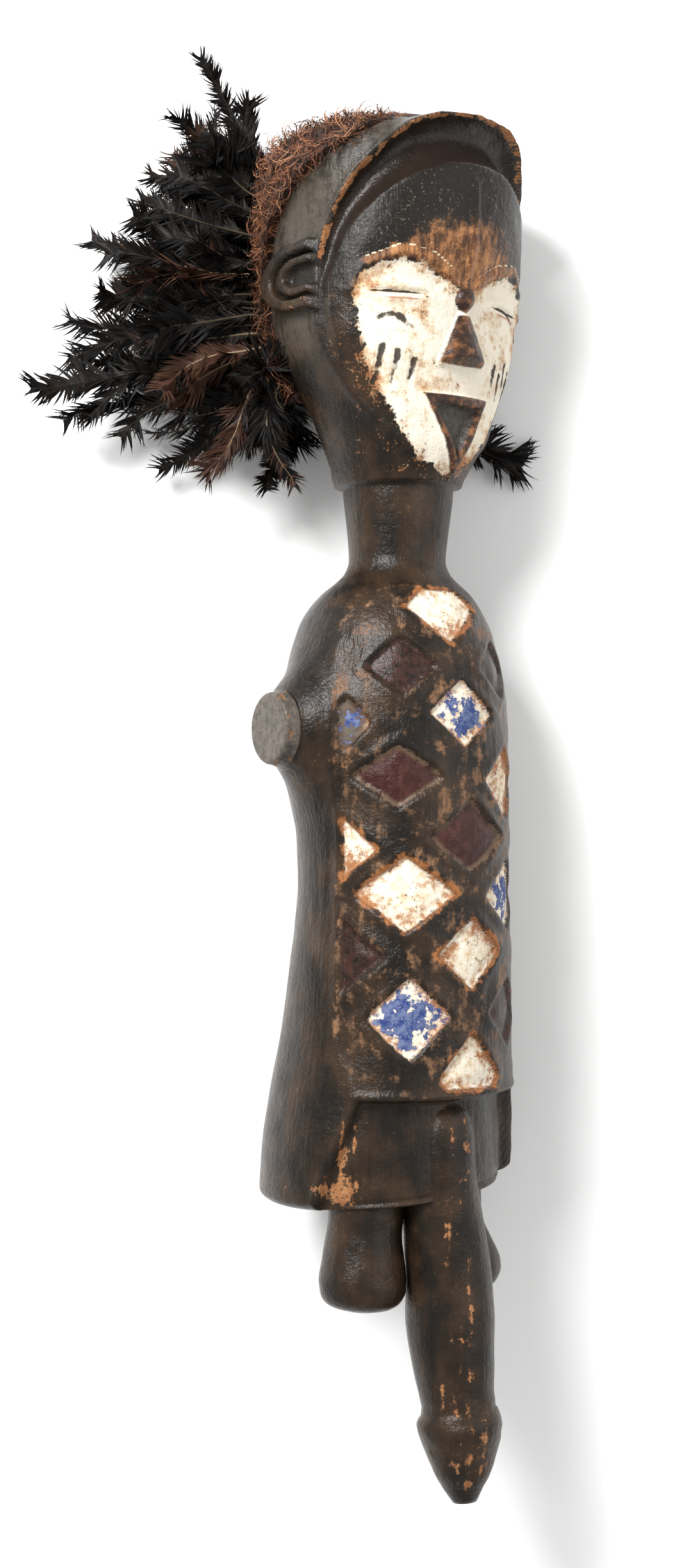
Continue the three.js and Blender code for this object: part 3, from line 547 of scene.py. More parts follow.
def arm(name, side, reach):
    outward = np.array([side * math.sin(ARM_ANGLE), math.cos(ARM_ANGLE), 0])
    across = np.array([side * math.cos(ARM_ANGLE), -math.sin(ARM_ANGLE), 0])
    line = finer([(share, wide, 0, 0) for share, wide in ARM_SHARES], 4)
    rows = [(s, w * ARM_RADIUS) for s, w in line[:, :2]]
    for turn in np.linspace(15, 90, 6):
        t = math.radians(turn)
        rows.append((1 - ARM_BEVEL * (1 - math.sin(t)) / reach, ARM_RADIUS - ARM_BEVEL * (1 - math.cos(t))))
    for inner in (0.75, 0.5, 0.25):
        rows.append((1.0, ARM_RADIUS * inner))
    a = np.linspace(0, 2 * np.pi, 72, endpoint=False)
    rings = []
    for share, radius in rows:
        wave = 1 + 0.012 * smooth_noise(31, a * 11, share * 90, 9)
        rise = ARM_HEIGHT + (1 - radius / ARM_RADIUS) * 2
        rings.append(outward * reach * share + (radius * 0.94 * wave * np.cos(a))[:, None] * across
                     + np.array([0, 0, 1]) * (rise + radius * wave * np.sin(a))[:, None])
    return ring_object(name, rings)


arms = [arm("right_arm", -1, RIGHT_ARM_REACH), arm("left_arm", 1, LEFT_ARM_REACH)]

print("rods", [made.name for made in [shaft] + legs + arms])

# %% [markdown]
# Each ear is a plate whose outer side carries two curved ridges that open to the front.

# %% Ears
EAR_ANGLE, EAR_HEIGHT, EAR_HALF, EAR_WIDTH = math.radians(95), 657.0, 18.5, 33.0
EAR_STAND, EAR_RIDGE, EAR_SHIFT = 6.0, 6.4, 0.36


def ear(name, side):
    reach = float(head_reach(np.array(side * EAR_ANGLE), np.array(EAR_HEIGHT)))
    out = np.array([side * math.sin(EAR_ANGLE), math.cos(EAR_ANGLE), 0])
    back = np.array([side * math.cos(EAR_ANGLE), -math.sin(EAR_ANGLE), 0])
    middle = np.array([0, 0, EAR_HEIGHT]) - back * EAR_WIDTH * EAR_SHIFT
    rows, columns = 44, 52
    v, u = np.meshgrid(np.linspace(-1, 1, rows), np.linspace(-0.35, 1, columns), indexing="ij")
    limit = np.sqrt(np.clip(1 - v ** 2, 0, 1))
    u = np.minimum(u, limit + 0.001)
    x, z = u * EAR_WIDTH, v * EAR_HALF
    edge = (1 - np.sqrt(np.clip(u, 0, 9) ** 2 + v ** 2)) * EAR_HALF
    inner = (0.56 - np.sqrt(np.clip(u, 0, 9) ** 2 + v ** 2)) * EAR_HALF
    ridge = smooth_step(-0.2, 1.4, edge) * smooth_step(EAR_RIDGE + 1, EAR_RIDGE - 0.6, edge)
    second = smooth_step(-0.6, 1.0, inner) * smooth_step(EAR_RIDGE - 0.6, EAR_RIDGE - 2.4, inner)
    lift = -1.2 + (EAR_STAND + 1.2) * ridge + (EAR_STAND + 0.2) * second
    lift = np.where(edge < 0.02, -1.2, lift)
    top = middle + x[..., None] * back + z[..., None] * np.array([0, 0, 1]) + (reach + lift)[..., None] * out
    low = middle + x[..., None] * back + z[..., None] * np.array([0, 0, 1]) + (reach - 16) * out
    points = np.vstack([top.reshape(-1, 3), low.reshape(-1, 3)])
    far = rows * columns
    faces = []
    at = lambda i, j: i * columns + j
    for i in range(rows - 1):
        for j in range(columns - 1):
            quad = (at(i, j), at(i, j + 1), at(i + 1, j + 1), at(i + 1, j))
            faces += [quad, tuple(far + k for k in quad[::-1])]
    edge_loop = [at(0, j) for j in range(columns - 1)]
    edge_loop += [at(i, columns - 1) for i in range(rows - 1)]
    edge_loop += [at(rows - 1, j) for j in range(columns - 1, 0, -1)]
    edge_loop += [at(i, 0) for i in range(rows - 1, 0, -1)]
    for a, b in zip(edge_loop, edge_loop[1:] + edge_loop[:1]):
        faces.append((a, far + a, far + b, b))
    made = mesh_object(name, points, faces)
    work = bmesh.new()
    work.from_mesh(made.data)
    bmesh.ops.remove_doubles(work, verts=work.verts, dist=0.02)
    bmesh.ops.dissolve_degenerate(work, edges=work.edges, dist=0.01)
    bmesh.ops.recalc_face_normals(work, faces=work.faces)
    work.to_mesh(made.data)
    work.free()
    return made


ears = [ear("right_ear", -1), ear("left_ear", 1)]


# %% [markdown]
# The rods and the ears are joined with the skin, so that no hidden surfaces are left inside.

# %% One solid
def join(target, tools):
    for tool in tools:
        cut = target.modifiers.new("join", "BOOLEAN")
        cut.operation, cut.solver, cut.object = "UNION", "EXACT", tool
    depsgraph = bpy.context.evaluated_depsgraph_get()
    mesh = bpy.data.meshes.new_from_object(target.evaluated_get(depsgraph))
    target.modifiers.clear()
    target.data = mesh
    for tool in tools:
        bpy.data.objects.remove(tool)
    return target


carving = join(skin, arms + legs + [shaft] + ears)
carving.name = "carving"
upright = points_of(carving)
print("joined carving", len(upright), "points")

# %% [markdown]
# The paint follows the carving. Each vertex gets signed distances to the painted shapes, in millimetres,
# and how much its spot is rubbed or sunk, so that the shader can draw crisp, broken edges from them.

# %% Paint and wear as values on the vertices
FACE_BORDER = [(0, 555.5), (18.8, 563.5), (30.8, 576.5), (41.1, 592.5), (51.2, 611.5), (57, 631), (59, 646),
               (57.6, 656), (48, 661.5), (38, 664), (28, 662.6), (18, 657.5), (9, 653), (0, 650.5)]
EYE_SMEAR = [(-49, 632, 0.6), (-44, 634.8, 1), (-38, 635, 1), (-31, 629, 0.8)]
LID_SMEAR = [(36, 646, 0.7), (43, 645, 1), (49, 641, 0.8)]
CHEEK_BARS = [(-45.2, 600, 619), (-37.4, 601, 617), (-28.4, 603, 613), (47, 601, 616), (41.5, 603, 619),
              (36, 600, 613), (29.8, 606, 616)]


def polygon_distance(x, z, corners):
    """Distance inside a closed outline in mm, negative outside it."""
    inside = np.zeros(x.shape, bool)
    best = np.full(x.shape, 1e9)
    for (x0, z0), (x1, z1) in zip(corners, corners[1:] + corners[:1]):
        dx, dz = x1 - x0, z1 - z0
        t = np.clip(((x - x0) * dx + (z - z0) * dz) / (dx * dx + dz * dz), 0, 1)
        best = np.minimum(best, np.hypot(x - x0 - t * dx, z - z0 - t * dz))
        crosses = (z0 > z) != (z1 > z)
        inside ^= crosses & (x < x0 + dx * (z - z0) / (dz if dz else 1e-9))
    return np.where(inside, best, -best)


x, f, z = upright.T
angle = np.arctan2(x, f)
reach = np.hypot(x, f)
flat_z = z - tilt(angle, z)
on_head = smooth_step(HEAD_BASE - 1.5, HEAD_BASE + 0.5, z)
on_skin = np.abs(reach - np.where(z > HEAD_BASE, head_skin(angle, np.minimum(z, CROWN)),
                                  trunk_reach(angle, flat_z) + trunk_relief(angle, flat_z))) < 1.2
trunk_skin = on_skin & (z < 500)
lozenge, which = lozenge_field(angle, flat_z)
lozenge = np.where(trunk_skin, np.minimum(lozenge, panel_distance(angle, flat_z) - LOZENGE_INSET), -9)
kinds = np.array([row[4] for row in LOZENGES])[which]
give(carving, "lozenge", np.clip(lozenge, -9, 9))
give(carving, "band", trunk_skin * smooth_step(-2, 4, panel_distance(angle, flat_z)))
for number, name in ((1, "white"), (2, "blue"), (3, "red")):
    give(carving, name, (kinds == number) * 1.0)
border = FACE_BORDER + [(-a, b) for a, b in FACE_BORDER[-2:0:-1]]
face = np.where(on_skin & (z > 550) & (np.cos(angle) > 0.05), polygon_distance(x, z, border), -9)
mouth = triangle_distance(x, z, MOUTH)
hollow = triangle_distance(x, z, MOUTH_INNER)
nose_side = nose_half(z)[0] - np.abs(x - NOSE_ASIDE)
nose = np.minimum(nose_side, np.minimum(NOSE_TOP - 3 - z, z - NOSE_LOW + 2.5))
knob = KNOB_RADIUS + 0.6 - np.hypot(x - KNOB[0], z - KNOB[1])
front = np.cos(angle) > 0.05
bare = np.where(front, np.maximum(np.maximum(mouth + 0.2, nose), knob), -9)
give(carving, "face", np.clip(np.where(front, face, -9), -9, 9))
give(carving, "bare", np.clip(bare, -9, 9))
give(carving, "hollow", np.clip(np.where(front, hollow, -9), -9, 9))
marks = stroke(np.abs(x), z, EYE_SLIT, 0.8)
smears = [(0.75, EYE_SMEAR, 2.9), (0.7, LID_SMEAR, 3.0)]
smears += [(0.8, [(bar, low, 0.8), (bar + 1.0, high, 1)], 2.1) for bar, low, high in CHEEK_BARS]
for strength, line, width in smears:
    marks = np.maximum(marks, strength * stroke(x, z, line, width))
give(carving, "marks", np.where(front & (face > -4), marks, 0))
lids = 0.9 * stroke(np.abs(x), z, LOWER_LID, 0.9)
give(carving, "lids", np.where(front, lids, 0))
share, width, turn = channel_share(angle, z)
head_skin_on = on_skin & (z > HEAD_BASE)
rim_gap = np.where(head_skin_on, np.abs(share * width), 9)
give(carving, "rim", np.where(turn > 0.2, np.clip(rim_gap, 0, 9), 9))
dome = np.where(head_skin_on & front, (share - 1) * width, -9)
dome = np.minimum(dome, (np.cos(angle) - 0.22) * 30)
give(carving, "forehead", np.clip(np.where(face < 0.5, dome, -9), -9, 9))
lens = np.minimum(25 - ((x + 3) / 9.5) ** 2 - (z - 665), (z - 634) * 1.6 - np.abs(x + 3) * 0.35)
give(carving, "bare_forehead", np.clip(lens, -20, 20))
cheek = np.where(head_skin_on, smooth_step(0.1, 0.6, np.cos(angle)) * smooth_step(655, 630, z), 0)
give(carving, "cheek", cheek)
cap = head_skin_on & ((share < 0) | (turn < 0.05)) & (z > 600) & (face < -6)
give(carving, "cap", smooth_step(600, 640, z) * cap)
ear_back = EAR_WIDTH * EAR_SHIFT - (np.abs(x) * math.cos(EAR_ANGLE) + f * math.sin(EAR_ANGLE))
ear_u, ear_v = ear_back / EAR_WIDTH, (z - EAR_HEIGHT) / EAR_HALF
in_ear = (ear_u > -EAR_SHIFT) & (ear_u < np.sqrt(np.clip(1 - ear_v ** 2, 0, 1)) + 0.02) & (np.abs(ear_v) < 1)
ear_lift = np.abs(x) * math.sin(EAR_ANGLE) + f * math.cos(EAR_ANGLE) - float(
    head_reach(np.array(EAR_ANGLE), np.array(EAR_HEIGHT)))
give(carving, "ear_top", in_ear * smooth_step(4.6, 6.0, ear_lift))
give(carving, "ear_groove", in_ear * (ear_lift > -2.5) * smooth_step(3.6, 0.8, ear_lift))
print("ear", int(in_ear.sum()), round(float(ear_lift[in_ear].max()), 2))
give(carving, "channel", np.where(head_skin_on & (share > 0) & (share < 1), 1.0, 0.0))
brow_top = stroke(np.abs(x), z, [(a, b + 4.6, w) for a, b, w in BROW[:5]], 0.55)
brow_band = stroke(np.abs(x), z, [(a, b + 2.2, w) for a, b, w in BROW[:5]], 2.4)
give(carving, "brow_line", np.where(front, brow_top, 0))
give(carving, "brow_band", np.where(front, brow_band, 0))

# Rubbing: the outer edges of the arms, the hem, the panel's frame and the shaft's front
arm_out = np.maximum(x * -math.sin(ARM_ANGLE) + f * math.cos(ARM_ANGLE), x * math.sin(ARM_ANGLE)
                     + f * math.cos(ARM_ANGLE))
arm_face = smooth_step(72.0, 74.5, arm_out) * (np.abs(z - ARM_HEIGHT) < 24)
give(carving, "arm_face", arm_face)
arm_away = np.hypot(z - ARM_HEIGHT, np.abs(x) * math.cos(ARM_ANGLE) - f * math.sin(ARM_ANGLE))
arm_rim = smooth_step(14.5, 17.5, arm_away) * smooth_step(70, 75, arm_out) * (arm_away < 26)
give(carving, "arm_rim", arm_rim)
limbs = (~on_skin) & (z < HEM + 45)
shaft_part = limbs & (f > 30) & (np.abs(x - SHAFT_ASIDE) < 26)
give(carving, "shaft", shaft_part * 1.0)
give(carving, "height", z)
give(carving, "aside", np.degrees(angle))
print("on skin", int(on_skin.sum()), "of", len(z))

# %% [markdown]
# The upright carving is now laid down in the frame, and nothing of it reaches below the floor.

# %% Laying the carving down
laid = place(upright)
laid[:, 2] = np.maximum(laid[:, 2], 0)
move_points(carving, laid)
carving.data.update()
face_outward(carving)
print("carving", len(carving.data.polygons), "faces", "low", laid[:, 2].min())

# %% [markdown]
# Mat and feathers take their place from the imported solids. A solid feather is a blade through five cross
# sections; its middle line, its sides and its width are read from those, and become a quill with barbs.

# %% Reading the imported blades
def node_points(name):
    node = frame["nodes"][name]
    return np.array([node.matrix_world @ v.co for v in node.data.vertices])


def blade_line(name):
    """Middle, side, up and half width of a blade at its five cross sections, from the root to the tip."""
    points = np.unique(node_points(name).round(5), axis=0)
    middle = points.mean(0)
    along = np.linalg.svd(points - middle)[2][0]
    if (points - HOME / 1000) @ along @ np.ones(len(points)) < 0:
        along = -along
    order = np.argsort((points - middle) @ along)
    place_on = ((points - middle) @ along)[order]
    cuts = np.sort(np.argsort(np.diff(place_on))[-4:]) + 1
    groups = np.split(points[order], cuts)
    centres = np.array([g.mean(0) for g in groups])
    axis = HOME[[0, 2]] / 1000
    if np.hypot(*(centres[0][[0, 2]] - axis)) > np.hypot(*(centres[-1][[0, 2]] - axis)):
        groups, centres = groups[::-1], centres[::-1]
    sides, halves = [], []
    for group, centre in zip(groups, centres):
        off = group - centre
        far = off[np.argmax(np.linalg.norm(off, axis=1))]
        halves.append(np.linalg.norm(far))
        side = far / max(halves[-1], 1e-9)
        if sides and side @ sides[-1] < 0:
            side = -side
        sides.append(side)
    return centres, np.array(sides), np.array(halves)


def smooth_line(values, count):
    """Catmull-Rom through the five rows, at evenly spaced shares."""
    v = np.vstack([2 * values[0] - values[1], values, 2 * values[-1] - values[-2]])
    out = []
    for t in np.linspace(0, len(values) - 1, count):
        i = min(int(t), len(values) - 2)
        u = t - i
        a, b, c, d = v[i:i + 4]
        out.append(0.5 * (2 * b + (c - a) * u + (2 * a - 5 * b + 4 * c - d) * u * u
                          + (3 * b - a - 3 * c + d) * u ** 3))
    return np.array(out)


# %% [markdown]
# The plume graph: a quill line in, a feather out. Barbs are set along the quill on both sides; their length
# follows the width that is stored on the line, with gaps and uneven tips, and a little curl.

# %% The plume graph
class Graph:
    """A geometry node group under construction."""
    def __init__(self, name, inputs):
        self.group = bpy.data.node_groups.new(name, "GeometryNodeTree")
        face = self.group.interface
        face.new_socket("Geometry", in_out="INPUT", socket_type="NodeSocketGeometry")
        self.ids = {}
        for label, kind, value in inputs:
            socket = face.new_socket(label, in_out="INPUT", socket_type="NodeSocket" + kind)
            if value is not None:
                socket.default_value = value
            self.ids[label] = socket.identifier
        face.new_socket("Geometry", in_out="OUTPUT", socket_type="NodeSocketGeometry")
        self.start = self.group.nodes.new("NodeGroupInput")
        self.end = self.group.nodes.new("NodeGroupOutput")

    def node(self, kind, links=None, **settings):
        """Adds a node; links maps its input names or numbers to sockets or values."""
        made = self.group.nodes.new(kind)
        for name, value in settings.items():
            setattr(made, name, value)
        for slot, item in (links or {}).items():
            socket = made.inputs[slot]
            if isinstance(item, bpy.types.NodeSocket):
                self.group.links.new(item, socket)
            else:
                socket.default_value = item
        return made

    def out(self, kind, links=None, **settings):
        """Adds a node and gives its first output."""
        return self.node(kind, links, **settings).outputs[0]

    def number(self, operation, a, b=None):
        links = {i: v for i, v in enumerate((a, b)) if v is not None}
        return self.out("ShaderNodeMath", links, operation=operation)

    def random(self, low, high, seed, kind="FLOAT"):
        made = self.node("FunctionNodeRandomValue", data_type=kind)
        names = [i for i in made.inputs if i.enabled]
        names[0].default_value, names[1].default_value = low, high
        made.inputs["Seed"].default_value = seed if not isinstance(seed, bpy.types.NodeSocket) else 0
        if isinstance(seed, bpy.types.NodeSocket):
            self.group.links.new(seed, made.inputs["Seed"])
        return [o for o in made.outputs if o.enabled][0]


def named(graph, name, kind):
    made = graph.node("GeometryNodeInputNamedAttribute", {"Name": name}, data_type=kind)
    return made.outputs["Attribute"]


LEAN_LOW, LEAN_HIGH = (-0.14, -0.20, -0.14), (0.14, 0.20, 0.14)
CLUMP_LEAN = (2.2, 3.2, 3.0)
QUILL_RADIUS, QUILL_TAPER = 0.00085, 0.0007


def plume_graph():
    g = Graph("plume", [("Barbs", "Int", 80), ("Sweep", "Float", 1.1), ("Barb width", "Float", 0.22),
                        ("Curl", "Float", 0.25), ("Uneven", "Float", 0.3), ("Seed", "Int", 1),
                        ("Material", "Material", None)])
    into = g.start.outputs
    curve = g.out("GeometryNodeMeshToCurve", {"Mesh": into["Geometry"]})
    points = g.out("GeometryNodeResampleCurve", {"Curve": curve, "Count": into["Barbs"]}, mode="COUNT")
    side = named(g, "side", "FLOAT_VECTOR")
    half = named(g, "half", "FLOAT")
    tangent = g.out("GeometryNodeInputTangent")
    parts = []
    # A barb is a strip along +X of unit length that sweeps forward along +Y and curls up along +Z
    strip = g.out("GeometryNodeMeshGrid", {"Size X": 1.0, "Size Y": 1.0, "Vertices X": 5, "Vertices Y": 2})
    apart = g.node("ShaderNodeSeparateXYZ", {0: g.out("GeometryNodeInputPosition")})
    t = g.number("ADD", apart.outputs[0], 0.5)
    taper = g.number("SUBTRACT", 1.05, g.number("POWER", t, 3.0))
    sweep = g.number("MULTIPLY", g.number("POWER", t, 1.35), into["Sweep"])
    across = g.number("MULTIPLY", g.number("MULTIPLY", apart.outputs[1], taper), into["Barb width"])
    curl = g.number("MULTIPLY", g.number("POWER", t, 2.2), into["Curl"])
    bent = g.out("ShaderNodeCombineXYZ", {0: t, 1: g.number("ADD", sweep, across), 2: curl})
    barb = g.out("GeometryNodeSetPosition", {"Geometry": strip, "Position": bent})
    for turn, seed in ((1.0, 11), (-1.0, 12)):
        seeds = g.number("ADD", into["Seed"], seed * 100.0)
        out = g.out("ShaderNodeVectorMath", {0: side, "Scale": turn}, operation="SCALE")
        rotation = g.out("FunctionNodeAxesToRotation", {"Primary Axis": tangent, "Secondary Axis": out},
                         primary_axis="Y", secondary_axis="X")
        short = g.number("SUBTRACT", 1.12, g.number("MULTIPLY", into["Uneven"], g.random(0.0, 1.0, seeds)))
        clump = g.out("ShaderNodeTexNoise", {"Scale": 190.0, "Detail": 2.0, "W": turn * 3.0},
                      noise_dimensions="4D")
        ragged = g.number("ADD", 0.30, g.number("MULTIPLY", clump, 1.35))
        length = g.number("MULTIPLY", g.number("MULTIPLY", half, short), ragged)
        upward = g.number("MULTIPLY", length, g.number("ADD", g.random(-1.0, 1.0, seeds), 0.2))
        scale = g.out("ShaderNodeCombineXYZ", {0: length, 1: length, 2: upward})
        jitter = g.random(LEAN_LOW, LEAN_HIGH, seeds, "FLOAT_VECTOR")
        clumped = g.node("ShaderNodeTexNoise", {"Scale": 150.0, "Detail": 1.0, "W": turn * 5.0},
                         noise_dimensions="4D").outputs["Color"]
        lean = g.out("ShaderNodeVectorMath", {0: clumped, 1: (0.5, 0.5, 0.5)}, operation="SUBTRACT")
        lean = g.out("ShaderNodeVectorMath", {0: lean, 1: CLUMP_LEAN, 2: jitter}, operation="MULTIPLY_ADD")
        tip = g.out("FunctionNodeEulerToRotation", {0: lean})
        turned = g.out("FunctionNodeRotateRotation", {"Rotation": rotation, "Rotate By": tip},
                       rotation_space="LOCAL")
        set_out = g.out("GeometryNodeInstanceOnPoints", {"Points": points, "Instance": barb,
                                                         "Rotation": turned, "Scale": scale})
        toned = g.out("GeometryNodeStoreNamedAttribute",
                      {"Geometry": set_out, "Name": "tone", "Value": g.random(0.0, 1.0, seeds)},
                      data_type="FLOAT", domain="INSTANCE")
        parts.append(g.out("GeometryNodeRealizeInstances", {0: toned}))
    quill_circle = g.out("GeometryNodeCurvePrimitiveCircle", {"Resolution": 4, "Radius": 1.0})
    line = g.out("GeometryNodeResampleCurve", {"Curve": curve, "Count": 14}, mode="COUNT")
    along = g.out("GeometryNodeSplineParameter")
    thin = g.number("SUBTRACT", QUILL_RADIUS, g.number("MULTIPLY", along, QUILL_TAPER))
    sized = g.out("GeometryNodeSetCurveRadius", {"Curve": line, "Radius": thin})
    quill = g.node("GeometryNodeCurveToMesh", {"Curve": sized, "Profile Curve": quill_circle,
                                               "Fill Caps": True})
    if "Scale" in quill.inputs:
        g.group.links.new(thin, quill.inputs["Scale"])
    marked = g.out("GeometryNodeStoreNamedAttribute",
                   {"Geometry": quill.outputs[0], "Name": "quill", "Value": 1.0},
                   data_type="FLOAT", domain="POINT")
    join_all = g.node("GeometryNodeJoinGeometry")
    for part in parts + [marked]:
        g.group.links.new(part, join_all.inputs[0])
    done = g.out("GeometryNodeSetMaterial", {"Geometry": join_all.outputs[0], "Material": into["Material"]})
    g.group.links.new(done, g.end.inputs[0])
    return g


def line_object(name, centres, sides, halves):
    """A chain of edges that stores the side direction and the half width of the feather's vane."""
    mesh = bpy.data.meshes.new(name)
    mesh.from_pydata([tuple(p) for p in centres], [(i, i + 1) for i in range(len(centres) - 1)], [])
    made = add_object(name, mesh)
    give(made, "side", sides, "FLOAT_VECTOR", "vector")
    give(made, "half", halves)
    return made


def grow(made, graph, **values):
    """Runs the graph on the object and keeps the result as its mesh."""
    modifier = made.modifiers.new(graph.group.name, "NODES")
    modifier.node_group = graph.group
    for label, value in values.items():
        modifier[graph.ids[label.replace("_", " ")]] = value
    depsgraph = bpy.context.evaluated_depsgraph_get()
    depsgraph.update()
    mesh = bpy.data.meshes.new_from_object(made.evaluated_get(depsgraph))
    made.modifiers.clear()
    made.data = mesh
    return made


# %% [markdown]
# Shader arithmetic: `Value` wraps a socket so that masks can be written as plain formulas.

# %% Shader helpers
class Value:
    def __init__(self, tree, socket):
        self.tree, self.socket = tree, socket

    def math(self, operation, other=None, third=None):
        node = self.tree.nodes.new("ShaderNodeMath")
        node.operation = operation
        for slot, item in enumerate((self, other, third)):
            if isinstance(item, Value):
                self.tree.links.new(item.socket, node.inputs[slot])
            elif item is not None:
                node.inputs[slot].default_value = item
        return Value(self.tree, node.outputs[0])

    def __add__(self, other): return self.math("ADD", other)
    def __radd__(self, other): return self.math("ADD", other)
    def __sub__(self, other): return self.math("SUBTRACT", other)
    def __rsub__(self, other): return (self * -1.0) + other
    def __mul__(self, other): return self.math("MULTIPLY", other)
    def most(self, other): return self.math("MAXIMUM", other)

    def step(self, low, high):
        """0 below low and 1 above high, smooth between; low may be the larger one."""
        node = self.tree.nodes.new("ShaderNodeMapRange")
        node.interpolation_type = "SMOOTHSTEP"
        self.tree.links.new(self.socket, node.inputs["Value"])
        turned = low > high
        node.inputs["From Min"].default_value, node.inputs["From Max"].default_value = sorted((low, high))
        ends = (1, 0) if turned else (0, 1)
        node.inputs["To Min"].default_value, node.inputs["To Max"].default_value = ends
        return Value(self.tree, node.outputs[0])


class Surface:
    """A material under construction."""
    def __init__(self, name):
        self.material = bpy.data.materials.new(name)
        self.material.use_nodes = True
        self.tree = self.material.node_tree
        self.shader = self.tree.nodes["Principled BSDF"]
        self.coords = self.tree.nodes.new("ShaderNodeTexCoord").outputs["Object"]

    def attribute(self, name):
        node = self.tree.nodes.new("ShaderNodeAttribute")
        node.attribute_name = name
        return Value(self.tree, node.outputs["Fac"])

    def noise(self, scale, detail=3.0, stretch=(1, 1, 1), shift=0.0, rough=0.55):
        """Noise about 0, between -0.5 and 0.5, by object coordinates in metres."""
        place = self.tree.nodes.new("ShaderNodeMapping")
        self.tree.links.new(self.coords, place.inputs["Vector"])
        place.inputs["Scale"].default_value = stretch
        place.inputs["Location"].default_value = (shift, shift * 0.7, shift * 1.3)
        node = self.tree.nodes.new("ShaderNodeTexNoise")
        self.tree.links.new(place.outputs[0], node.inputs["Vector"])
        node.inputs["Scale"].default_value = scale
        node.inputs["Detail"].default_value = detail
        node.inputs["Roughness"].default_value = rough
        return Value(self.tree, node.outputs["Fac"]) - 0.5

    def mix(self, low, high, share):
        node = self.tree.nodes.new("ShaderNodeMix")
        node.data_type = "RGBA"
        for name, item in (("A", low), ("B", high)):
            socket = [i for i in node.inputs if i.name == name and i.type == "RGBA"][0]
            if isinstance(item, Value):
                self.tree.links.new(item.socket, socket)
            else:
                socket.default_value = (*item, 1)
        if isinstance(share, Value):
            self.tree.links.new(share.socket, node.inputs[0])
        else:
            node.inputs[0].default_value = share
        return Value(self.tree, [o for o in node.outputs if o.type == "RGBA"][0])

    def finish(self, colour, roughness, height=None, distance=0.0004, strength=0.6):
        self.tree.links.new(colour.socket, self.shader.inputs["Base Color"])
        if isinstance(roughness, Value):
            self.tree.links.new(roughness.socket, self.shader.inputs["Roughness"])
        else:
            self.shader.inputs["Roughness"].default_value = roughness
        if height is not None:
            bump = self.tree.nodes.new("ShaderNodeBump")
            bump.inputs["Distance"].default_value = distance
            bump.inputs["Strength"].default_value = strength
            self.tree.links.new(height.socket, bump.inputs["Height"])
            self.tree.links.new(bump.outputs[0], self.shader.inputs["Normal"])
        return self.material


# %% [markdown]
# The wood: a dark, half glossy patina, rubbed through to orange wood, with chalky white, blue and dark red
# pigment in the lozenges and chalky white on the face.

# %% Wood
BLACK, BROWN, UMBER = (0.0085, 0.0066, 0.0050), (0.040, 0.023, 0.0125), (0.090, 0.045, 0.021)
ORANGE, AMBER = (0.25, 0.095, 0.034), (0.40, 0.19, 0.080)
CHALK, CREAM, STAIN = (0.70, 0.64, 0.53), (0.56, 0.42, 0.25), (0.29, 0.105, 0.034)
BLUE, RED, ASH = (0.022, 0.042, 0.155), (0.034, 0.0105, 0.0085), (0.075, 0.066, 0.052)
GRAIN = (1.0, 0.10, 1.0)


